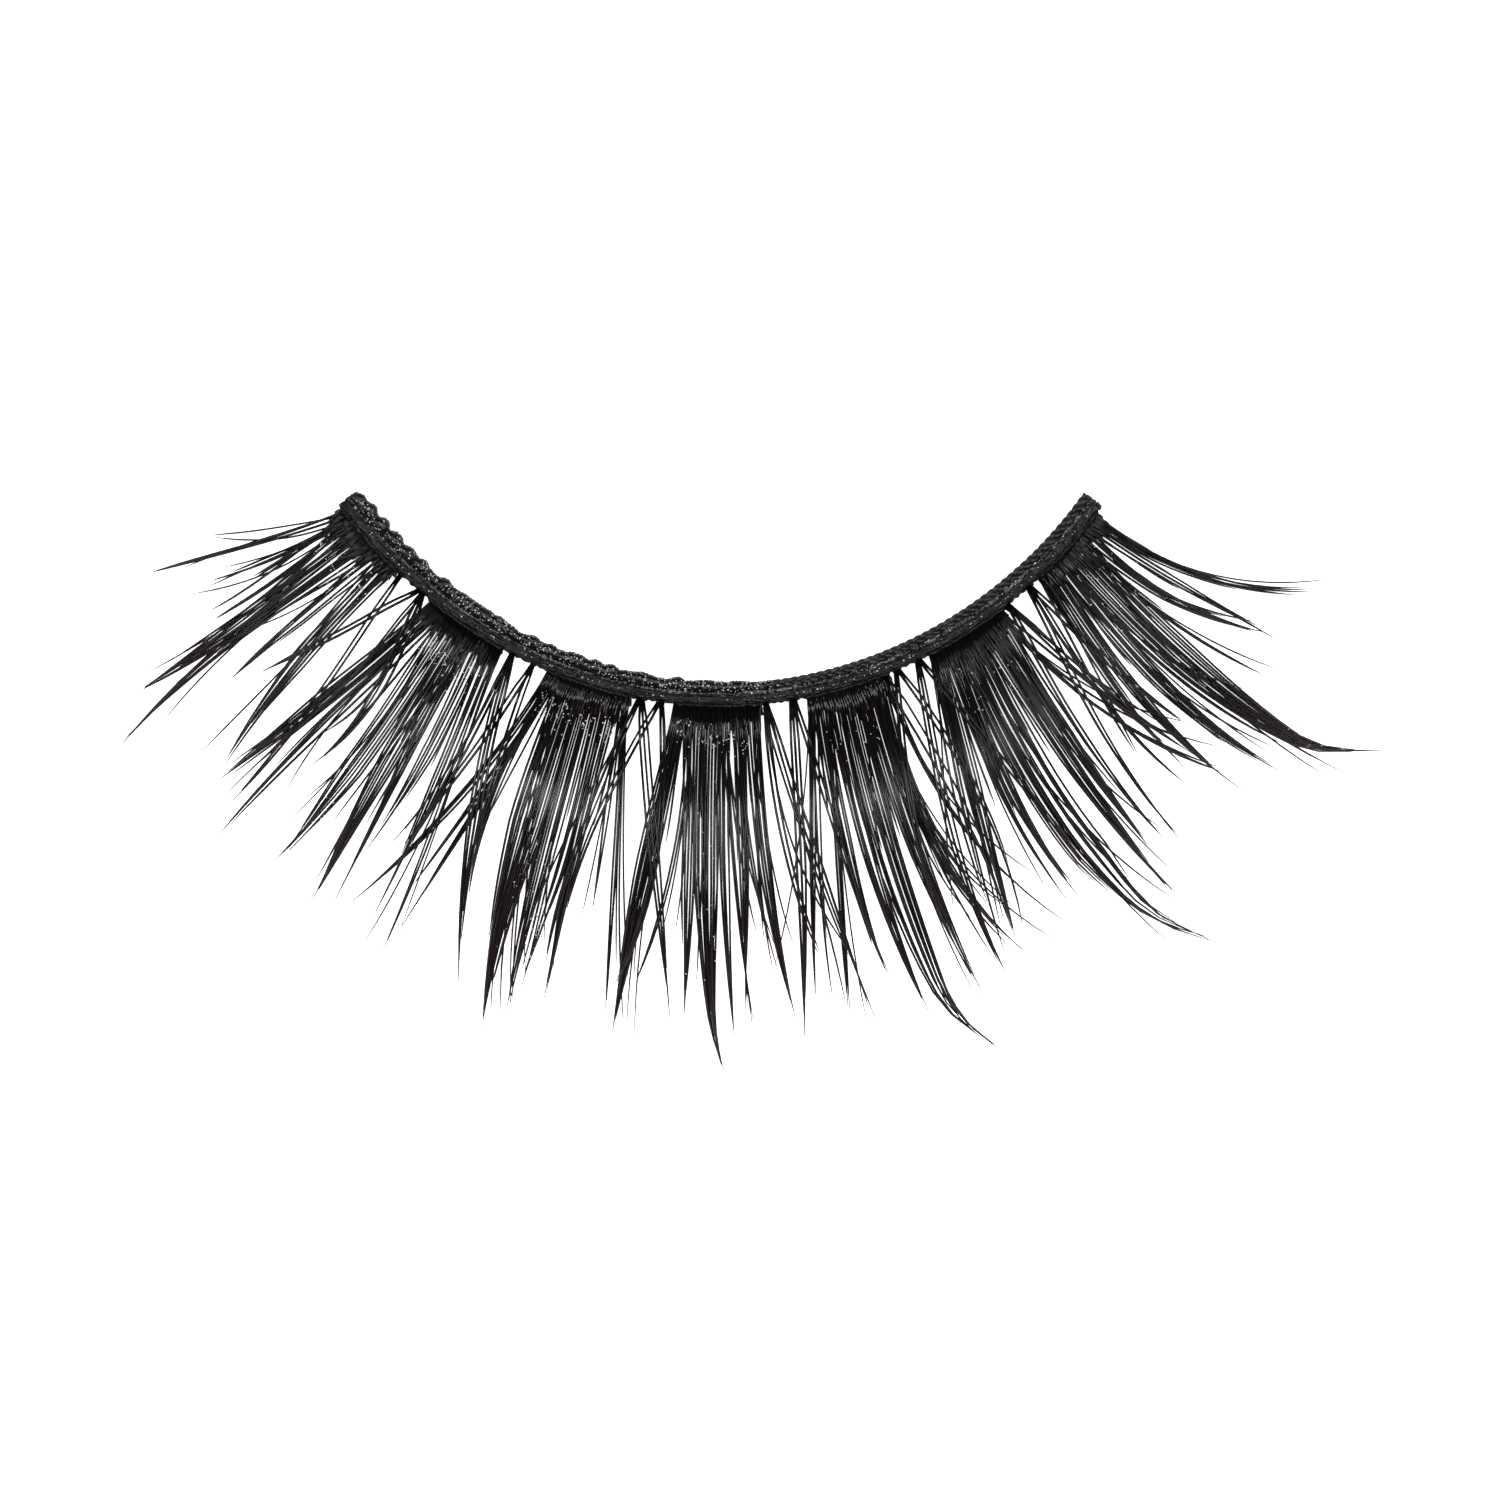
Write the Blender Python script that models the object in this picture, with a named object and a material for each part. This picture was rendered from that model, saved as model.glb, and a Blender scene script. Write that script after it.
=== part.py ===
"""False eyelash strip for the left eye, lying with its fibres curling up.

Metres, +Z up. +X runs to the outer corner of the eye, +Y to the eyelid, and the fibres point to -Y.
The origin is the middle of the root strip's underside, the face that is glued to the eyelid.

A place on the fringe is given by its angle share (0 in the middle of the band, -1 and 1 at its
ends) and by its reach (the distance out from the band, as a share of LONGEST_FIBRE).
"""

import math
from collections import namedtuple

import bmesh
import bpy
from mathutils import Matrix, Vector

MM = 0.001

# The band: a flat strip that holds the roots, with a braided thread along its eyelid side.
BAND_RADIUS = 17.8 * MM
BAND_HALF_ANGLE = math.radians(53.3)
STRIP_WIDTH = 0.42 * MM
STRIP_HEIGHT = 0.34 * MM
STRIP_EDGE = 0.06 * MM
STRIP_STEPS = 44
THREAD_DIAMETER = 0.42 * MM
THREAD_POINTS = 88
THREAD_SIDE_STEPS = 2
CLEARANCE = 0.04 * MM

# The fringe: fibres leave the strip drooping, bottom out and curl up to their tips.
LONGEST_FIBRE = 14.0 * MM
ROOT_DROOP = math.radians(20.0)
CURL_RADIUS = 12.4 * MM
ROOT_PAD_DEPTH = 0.85 * MM
ROOT_PAD_HEIGHT = 0.24 * MM
LOCK_WIDTH = 0.80 * MM
LOCK_HEIGHT = 0.15 * MM
KNOT_DEPTH = 0.24 * MM
STRAND_HEIGHT = 0.13 * MM

# Bunches that cross lie in layers, which part a little way out from the strip.
LAYER_GAP = 0.07 * MM
LAYER_STEP = max(LOCK_HEIGHT, STRAND_HEIGHT) + LAYER_GAP
LAYER_RAMP = 1.3 * MM

# Shares that shape a lock along its length: where its sections lie, how thick its edges and its
# tip are, where it is widest, how much narrower than its root span it starts, its finest point
# before the tip, and where a hooked tip begins.
LOCK_STATIONS = (0.05, 0.13, 0.26, 0.40, 0.54, 0.68, 0.80, 0.90, 0.96)
STRAND_STATIONS = (0.06, 0.16, 0.30, 0.45, 0.60, 0.75, 0.88)
EDGE_THICKNESS = 0.45
TIP_THICKNESS = 0.45
WIDEST_AT = 0.55
START_WIDTH = 0.9
FINEST = 0.04
HOOK_FROM = 0.80

SMALLEST_SPAN = 1e-6
SHARP_ANGLE = math.radians(40)

# A finish: base colour and roughness.
Finish = namedtuple("Finish", "colour roughness")
FIBRE = Finish((0.012, 0.011, 0.012, 1.0), 0.38)
THREAD = Finish((0.018, 0.017, 0.018, 1.0), 0.55)
STRIP = Finish((0.009, 0.009, 0.010, 1.0), 0.42)

# One lock: the angle shares of its root, middle and tip, its reach, its fullest width as a share
# of LOCK_WIDTH, how far its tip hooks sideways as an angle share, and its root's span.
Lock = namedtuple("Lock", "root middle tip reach width hook span")

# How the locks of one bunch are built: the depth and height of the pad they grow from, their own
# height, where their sections lie, and the layers that they take in turn.
Comb = namedtuple("Comb", "depth pad_height lock_height stations layers")
LOW_CLUSTER = Comb(ROOT_PAD_DEPTH, ROOT_PAD_HEIGHT, LOCK_HEIGHT, LOCK_STATIONS, (0, 1))
HIGH_CLUSTER = Comb(ROOT_PAD_DEPTH, ROOT_PAD_HEIGHT, LOCK_HEIGHT, LOCK_STATIONS, (2, 3))
CROSSING = Comb(KNOT_DEPTH, STRAND_HEIGHT, STRAND_HEIGHT, STRAND_STATIONS, (4, 5))

# Dried glue on the thread: the angle share of each lump and its height as a share of the thread.
Lump = namedtuple("Lump", "place height")
CRUST = (
    Lump(-0.975, 0.30), Lump(-0.915, 0.42), Lump(-0.86, 0.36), Lump(-0.80, 0.20),
    Lump(-0.755, 0.34), Lump(-0.70, 0.28), Lump(-0.63, 0.34), Lump(-0.575, 0.26),
    Lump(-0.51, 0.38), Lump(-0.45, 0.30), Lump(-0.385, 0.26), Lump(-0.32, 0.34),
    Lump(-0.25, 0.28), Lump(-0.18, 0.22), Lump(-0.11, 0.20), Lump(0.045, 0.12),
)
LUMP_SPREAD = 0.021

CLUSTERS = {
    "cluster_1": (
        Lock(-0.990, -1.050, -1.110, 0.54, 0.26, 0.0, 0.014),
        Lock(-0.974, -1.000, -1.052, 0.45, 0.34, 0.0, 0.016),
        Lock(-0.945, -0.948, -0.962, 0.74, 0.80, 0.0, 0.036),
        Lock(-0.905, -0.930, -0.948, 0.84, 0.62, 0.034, 0.034),
        Lock(-0.872, -0.884, -0.890, 0.52, 0.50, 0.0, 0.028),
        Lock(-0.836, -0.822, -0.796, 0.70, 0.66, 0.0, 0.038),
    ),
    "cluster_2": (
        Lock(-0.692, -0.752, -0.790, 0.73, 0.66, 0.0, 0.024),
        Lock(-0.668, -0.722, -0.738, 0.84, 0.55, 0.0, 0.020),
        Lock(-0.641, -0.642, -0.648, 0.79, 1.10, 0.0, 0.030),
        Lock(-0.605, -0.596, -0.582, 0.84, 1.05, 0.0, 0.038),
        Lock(-0.568, -0.546, -0.556, 0.68, 0.60, 0.0, 0.032),
        Lock(-0.538, -0.512, -0.498, 0.80, 0.46, 0.0, 0.024),
        Lock(-0.516, -0.482, -0.461, 0.90, 0.36, 0.0, 0.016),
    ),
    "cluster_3": (
        Lock(-0.385, -0.458, -0.540, 0.79, 0.48, 0.0, 0.022),
        Lock(-0.364, -0.405, -0.455, 0.77, 0.48, 0.0, 0.018),
        Lock(-0.337, -0.340, -0.318, 0.95, 1.05, 0.010, 0.034),
        Lock(-0.302, -0.298, -0.284, 0.91, 0.75, 0.0, 0.034),
        Lock(-0.268, -0.264, -0.275, 0.82, 0.64, 0.0, 0.032),
        Lock(-0.238, -0.238, -0.238, 0.83, 0.50, 0.0, 0.026),
        Lock(-0.214, -0.174, -0.150, 0.92, 0.34, 0.0, 0.018),
    ),
    "cluster_4": (
        Lock(-0.084, -0.124, -0.126, 0.90, 0.55, 0.0, 0.018),
        Lock(-0.067, -0.086, -0.112, 0.88, 0.34, 0.0, 0.014),
        Lock(-0.050, -0.055, -0.046, 0.88, 0.52, 0.0, 0.018),
        Lock(-0.022, -0.022, -0.008, 1.00, 1.00, 0.014, 0.036),
        Lock(0.015, 0.010, 0.022, 0.92, 0.45, 0.0, 0.034),
        Lock(0.048, 0.045, 0.038, 0.86, 0.50, 0.0, 0.030),
        Lock(0.079, 0.084, 0.102, 0.86, 0.68, 0.0, 0.030),
    ),
    "cluster_5": (
        Lock(0.212, 0.166, 0.130, 0.83, 0.38, 0.0, 0.012),
        Lock(0.225, 0.186, 0.155, 0.85, 0.38, 0.0, 0.012),
        Lock(0.238, 0.206, 0.177, 0.88, 0.36, 0.0, 0.012),
        Lock(0.253, 0.222, 0.237, 0.74, 0.58, 0.0, 0.016),
        Lock(0.272, 0.252, 0.277, 0.92, 0.72, 0.0, 0.020),
        Lock(0.300, 0.288, 0.318, 1.04, 1.05, 0.028, 0.034),
        Lock(0.337, 0.330, 0.352, 0.87, 0.48, 0.0, 0.036),
        Lock(0.372, 0.368, 0.386, 0.76, 0.42, 0.0, 0.030),
    ),
    "cluster_6": (
        Lock(0.516, 0.446, 0.425, 0.82, 0.44, 0.0, 0.018),
        Lock(0.534, 0.492, 0.517, 0.75, 0.44, 0.0, 0.016),
        Lock(0.553, 0.522, 0.531, 0.73, 0.56, 0.0, 0.020),
        Lock(0.588, 0.574, 0.612, 1.03, 1.70, 0.028, 0.048),
        Lock(0.633, 0.636, 0.646, 0.90, 0.80, 0.0, 0.040),
        Lock(0.672, 0.660, 0.668, 0.76, 0.50, 0.0, 0.034),
    ),
    "cluster_7": (
        Lock(0.824, 0.798, 0.800, 0.78, 0.62, 0.0, 0.034),
        Lock(0.857, 0.834, 0.860, 0.82, 0.64, 0.0, 0.030),
        Lock(0.905, 0.893, 0.922, 0.96, 1.45, 0.038, 0.064),
        Lock(0.946, 0.934, 0.955, 0.69, 0.34, 0.0, 0.016),
        Lock(0.965, 0.973, 1.017, 0.57, 0.80, 0.0, 0.020),
        Lock(0.985, 1.034, 1.114, 0.62, 0.50, 0.0, 0.016),
    ),
}

CROSSINGS = {
    "crossing_1": (
        Lock(-0.790, -0.752, -0.757, 0.81, 0.20, 0.0, 0.010),
        Lock(-0.740, -0.800, -0.862, 0.46, 0.20, 0.0, 0.010),
        Lock(-0.728, -0.684, -0.694, 0.53, 0.20, 0.0, 0.010),
    ),
    "crossing_2": (
        Lock(-0.488, -0.445, -0.356, 0.86, 0.26, 0.0, 0.010),
        Lock(-0.446, -0.500, -0.530, 0.62, 0.20, 0.0, 0.010),
        Lock(-0.434, -0.400, -0.366, 0.57, 0.20, 0.0, 0.010),
    ),
    "crossing_3": (
        Lock(-0.180, -0.116, -0.068, 0.81, 0.20, 0.0, 0.010),
        Lock(-0.145, -0.198, -0.226, 0.58, 0.20, 0.0, 0.010),
        Lock(-0.133, -0.106, -0.100, 0.66, 0.20, 0.0, 0.010),
    ),
    "crossing_4": (
        Lock(0.112, 0.180, 0.214, 0.89, 0.26, 0.0, 0.010),
        Lock(0.160, 0.134, 0.112, 0.93, 0.38, 0.0, 0.010),
        Lock(0.176, 0.200, 0.206, 0.80, 0.20, 0.0, 0.010),
    ),
    "crossing_5": (
        Lock(0.412, 0.432, 0.505, 0.84, 0.24, 0.0, 0.010),
        Lock(0.462, 0.402, 0.385, 0.86, 0.26, 0.0, 0.010),
        Lock(0.474, 0.500, 0.545, 0.78, 0.20, 0.0, 0.010),
    ),
    "crossing_6": (
        Lock(0.714, 0.786, 0.822, 0.72, 0.22, 0.0, 0.010),
        Lock(0.766, 0.702, 0.677, 0.83, 0.22, 0.0, 0.010),
        Lock(0.780, 0.742, 0.757, 0.64, 0.20, 0.0, 0.010),
    ),
}


def centre_y():
    """Where the band's arc has its centre, with the origin in the middle of the strip."""
    return BAND_RADIUS - STRIP_WIDTH / 2


def curl(out):
    """How far above its root a fibre is, at a distance out from the band."""
    return out * out / (2 * CURL_RADIUS) - math.tan(ROOT_DROOP) * out


def smooth(value):
    """0 to 1 with no corner at either end."""
    value = min(max(value, 0.0), 1.0)
    return value * value * (3 - 2 * value)


def arc_point(angle, radius, height):
    """The point at an angle round the band's centre, 0 straight down to -Y."""
    return Vector((radius * math.sin(angle), centre_y() - radius * math.cos(angle), height))


def fringe_point(angle, out, rise):
    """The point at a distance out from the band, rise above the surface that the fibres lie in."""
    return arc_point(angle, BAND_RADIUS + out, STRIP_HEIGHT / 2 + curl(out) + rise)


def lock_angle(lock, along):
    """The angle of a lock's middle line, through its root, middle and tip."""
    share = (
        lock.root * (1 - along) * (1 - 2 * along)
        + lock.middle * 4 * along * (1 - along)
        + lock.tip * along * (2 * along - 1)
    )
    past = max(0.0, along - HOOK_FROM) / (1 - HOOK_FROM)
    return (share + lock.hook * past * past) * BAND_HALF_ANGLE


def lock_half_width(lock, along):
    """Half a lock's width: its root's span at the pad, then its body, then a fine point."""
    span = lock.span * BAND_HALF_ANGLE * (BAND_RADIUS + ROOT_PAD_DEPTH)
    fill = smooth(along / WIDEST_AT)
    width = span * START_WIDTH * (1 - fill) + lock.width * LOCK_WIDTH * fill
    taper = 1 - smooth((along - WIDEST_AT) / (1 - WIDEST_AT))
    return width / 2 * max(taper, FINEST)


def paint(data, name, finish):
    """Gives a mesh or a curve a material of its own."""
    material = bpy.data.materials.new(name)
    material.use_nodes = True
    shader = material.node_tree.nodes["Principled BSDF"]
    shader.inputs["Base Color"].default_value = finish.colour
    shader.inputs["Roughness"].default_value = finish.roughness
    shader.inputs["Metallic"].default_value = 0.0
    data.materials.append(material)


def finish_mesh(shell, name, finish, collection):
    """Turns a bmesh into a named object with its material, shaded smooth but for its corners."""
    bmesh.ops.recalc_face_normals(shell, faces=shell.faces)
    mesh = bpy.data.meshes.new(name)
    shell.to_mesh(mesh)
    shell.free()
    mesh.shade_smooth()
    mesh.set_sharp_from_angle(angle=SHARP_ANGLE)
    paint(mesh, name, finish)
    collection.objects.link(bpy.data.objects.new(name, mesh))


def make_root_strip(collection):
    """The flat strip: its section, with the upper corners cut, spun round the band's centre."""
    shell = bmesh.new()
    outer = centre_y() - BAND_RADIUS
    inner = outer + STRIP_WIDTH
    shoulder = STRIP_HEIGHT - STRIP_EDGE
    section = (
        (outer, 0.0), (inner, 0.0), (inner, shoulder), (inner - STRIP_EDGE, STRIP_HEIGHT),
        (outer + STRIP_EDGE, STRIP_HEIGHT), (outer, shoulder),
    )
    centre = Vector((0.0, centre_y(), 0.0))
    corners = [shell.verts.new((0.0, y, z)) for y, z in section]
    end = shell.faces.new(corners)
    to_start = Matrix.Rotation(-BAND_HALF_ANGLE, 3, "Z")
    bmesh.ops.rotate(shell, verts=corners, cent=centre, matrix=to_start)
    bmesh.ops.spin(
        shell, geom=[end] + corners + list(end.edges), cent=centre, axis=(0, 0, 1),
        angle=2 * BAND_HALF_ANGLE, steps=STRIP_STEPS,
    )
    finish_mesh(shell, "root_strip", STRIP, collection)


def crust_height(share):
    """How thick the dried glue is on the thread at an angle share."""
    total = 0.0
    for lump in CRUST:
        total += lump.height * math.exp(-(((share - lump.place) / LUMP_SPREAD) ** 2))
    return total * THREAD_DIAMETER


def make_thread_band(collection):
    """The braided thread: a round cord along the strip, swollen by dried glue on one half."""
    path = bpy.data.curves.new("thread_band", "CURVE")
    path.dimensions = "3D"
    path.bevel_depth = THREAD_DIAMETER / 2
    path.bevel_resolution = THREAD_SIDE_STEPS
    path.use_fill_caps = True
    spline = path.splines.new("POLY")
    spline.points.add(THREAD_POINTS - 1)
    for number, point in enumerate(spline.points):
        share = 2 * number / (THREAD_POINTS - 1) - 1
        width = THREAD_DIAMETER + crust_height(share)
        radius = BAND_RADIUS - STRIP_WIDTH - CLEARANCE - width / 2
        middle = arc_point(share * BAND_HALF_ANGLE, radius, width / 2)
        point.co = (*middle, 1.0)
        point.radius = width / THREAD_DIAMETER
    paint(path, "thread_band", THREAD)
    collection.objects.link(bpy.data.objects.new("thread_band", path))


def lock_ring(shell, lock, along, comb, rise):
    """The six corners of a lock's lens section at a share of its length."""
    out = comb.depth + (lock.reach * LONGEST_FIBRE - comb.depth) * along
    middle = lock_angle(lock, along)
    half = lock_half_width(lock, along) / (BAND_RADIUS + out)
    thick = comb.lock_height * (1 - (1 - TIP_THICKNESS) * along) / 2
    edge = thick * EDGE_THICKNESS
    lift = rise * smooth(out / LAYER_RAMP)
    corners = (
        (-half, -edge), (0.0, -thick), (half, -edge),
        (half, edge), (0.0, thick), (-half, edge),
    )
    return [shell.verts.new(fringe_point(middle + side, out, lift + up)) for side, up in corners]


def grow_lock(shell, lock, root, comb, rise):
    """A lock from its six root corners on the pad to its point."""
    rings = [root]
    for along in comb.stations:
        rings.append(lock_ring(shell, lock, along, comb, rise))
    tip = shell.verts.new(fringe_point(lock_angle(lock, 1.0), lock.reach * LONGEST_FIBRE, rise))
    corners = len(root)
    for corner in range(corners):
        after = (corner + 1) % corners
        for ring, further in zip(rings, rings[1:]):
            shell.faces.new((ring[corner], ring[after], further[after], further[corner]))
        shell.faces.new((rings[-1][corner], rings[-1][after], tip))


def pad_columns(locks):
    """The pad's columns as angle shares, and for each two the lock that grows there, or none."""
    columns = [locks[0].root - locks[0].span / 2]
    owners = []
    for lock in locks:
        left = lock.root - lock.span / 2
        if left > columns[-1] + SMALLEST_SPAN:
            columns.append(left)
            owners.append(None)
        left = columns[-1]
        right = lock.root + lock.span / 2
        columns += [(left + right) / 2, right]
        owners += [lock, lock]
    return columns, owners


def pad_section(shell, share, comb):
    """The four corners of a root pad's section: two at the strip and two at its outer edge."""
    angle = share * BAND_HALF_ANGLE
    half = comb.pad_height / 2
    corners = ((CLEARANCE, -half), (comb.depth, -half), (comb.depth, half), (CLEARANCE, half))
    return [shell.verts.new(fringe_point(angle, out, up)) for out, up in corners]


def make_comb(name, locks, comb, collection):
    """A root pad along the strip with the locks growing from its outer edge, in one skin."""
    shell = bmesh.new()
    columns, owners = pad_columns(locks)
    sections = [pad_section(shell, share, comb) for share in columns]
    for left, right, owner in zip(sections, sections[1:], owners):
        shell.faces.new((left[0], left[1], right[1], right[0]))
        shell.faces.new((left[3], right[3], right[2], left[2]))
        shell.faces.new((left[0], right[0], right[3], left[3]))
        if owner is None:
            shell.faces.new((left[1], left[2], right[2], right[1]))
    shell.faces.new(sections[0])
    shell.faces.new(sections[-1])
    for number, lock in enumerate(locks):
        first = owners.index(lock)
        left, middle, right = sections[first:first + 3]
        root = [left[1], middle[1], right[1], right[2], middle[2], left[2]]
        rise = comb.layers[number % len(comb.layers)] * LAYER_STEP
        grow_lock(shell, lock, root, comb, rise)
    finish_mesh(shell, name, FIBRE, collection)


def main():
    """Builds the strip, the thread, the seven clusters and the six crossings between them."""
    for obj in list(bpy.data.objects):
        bpy.data.objects.remove(obj, do_unlink=True)
    collection = bpy.data.collections.new("eyelash_strip")
    bpy.context.scene.collection.children.link(collection)
    make_root_strip(collection)
    make_thread_band(collection)
    for number, (name, locks) in enumerate(CLUSTERS.items()):
        comb = HIGH_CLUSTER if number % 2 else LOW_CLUSTER
        make_comb(name, locks, comb, collection)
    for name, locks in CROSSINGS.items():
        make_comb(name, locks, CROSSING, collection)


main()
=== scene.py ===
"""Looks of a false eyelash strip: its fibres, braided thread, dried glue and a pale studio.

Metres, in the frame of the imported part. A place on the fringe is an angle share, 0 in the middle
of the band and 1 at its outer end, and a reach, the distance out from the band as a share of the
longest fibre.
"""

import logging
import math
from dataclasses import dataclass, field
from enum import Enum
from typing import Any, Optional, Sequence

import bpy
import numpy as np
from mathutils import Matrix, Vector


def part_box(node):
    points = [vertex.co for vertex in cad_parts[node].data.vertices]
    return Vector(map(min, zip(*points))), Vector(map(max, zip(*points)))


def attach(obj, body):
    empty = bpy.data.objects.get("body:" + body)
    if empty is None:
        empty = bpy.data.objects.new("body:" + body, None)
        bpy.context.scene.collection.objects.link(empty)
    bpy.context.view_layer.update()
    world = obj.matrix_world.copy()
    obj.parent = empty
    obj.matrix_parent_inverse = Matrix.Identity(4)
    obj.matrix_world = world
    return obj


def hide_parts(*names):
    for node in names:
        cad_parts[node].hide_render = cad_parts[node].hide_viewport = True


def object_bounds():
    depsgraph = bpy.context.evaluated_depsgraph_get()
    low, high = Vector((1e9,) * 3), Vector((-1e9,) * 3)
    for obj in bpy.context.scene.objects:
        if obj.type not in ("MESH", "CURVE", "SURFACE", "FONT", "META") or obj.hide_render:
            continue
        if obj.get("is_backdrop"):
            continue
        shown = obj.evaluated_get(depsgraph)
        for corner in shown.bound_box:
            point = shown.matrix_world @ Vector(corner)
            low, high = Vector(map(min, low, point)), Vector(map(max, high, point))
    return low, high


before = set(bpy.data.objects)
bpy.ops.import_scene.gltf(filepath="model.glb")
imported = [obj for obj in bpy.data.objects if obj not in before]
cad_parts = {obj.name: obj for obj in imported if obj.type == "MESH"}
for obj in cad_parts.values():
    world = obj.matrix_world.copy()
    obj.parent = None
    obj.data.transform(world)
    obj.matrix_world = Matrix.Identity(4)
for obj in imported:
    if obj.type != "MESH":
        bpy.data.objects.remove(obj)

MM = 0.001
BODY = "root"
SAME_PLACE = 1e-4
LOG = logging.getLogger("eyelash_strip")
Piece = bpy.types.Object
Material = bpy.types.Material
Colour = tuple[float, float, float, float]

# Single fibres of a cluster: the lengths, as shares of the locks', of the short ones between the
# locks and of the stubs at the root, how many stubs there are, and how many fibres stray from the
# locks of a cluster and from the strands of a crossing.
SHORT_LENGTHS = (0.30, 0.66)
STUB_LENGTHS = (0.055, 0.11)
STUBS = 42
STRAYS = 14
TIER_STRAYS = 2


class Layer(Enum):
    """How high above the fringe's lowest fibres a bunch lies, in metres."""

    LOW = 0.0 * MM
    HIGH = 0.44 * MM
    TOP = 0.88 * MM


@dataclass(frozen=True)
class Tuft:
    """One lock of fibres: its path over the fringe and how its fibres spread across it.

    The first three fields are angle shares on its middle line. Width is in millimetres, where
    the lock is full; span is its root's angle share; full is the share of its length where it
    begins to taper, and blunt how long it stays wide after that. Fray is how uneven its fibres'
    lengths are. Hook bends the tip sideways. Thick is its fibres' thickness as a share of a
    normal fibre's.
    """

    root: float
    middle: float
    tip: float
    reach: float
    fibres: int
    width: float
    span: float = 0.012
    hook: float = 0.0
    full: float = 0.5
    blunt: float = 1.0
    fray: float = 0.10
    thick: float = 1.0

    def share_at(self, along: Any) -> Any:
        """The angle share of its middle line at shares of its length."""
        curve = self.root * (1 - along) * (1 - 2 * along) + self.tip * along * (2 * along - 1)
        return curve + self.middle * 4 * along * (1 - along)


@dataclass(frozen=True)
class Cluster:
    """One dense bunch: the angle shares between which its root mat lies, and its locks.

    Fill is how many shorter single fibres stand between the locks.
    """

    start: float
    end: float
    layer: Layer
    fill: int
    tufts: tuple[Tuft, ...]


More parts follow.
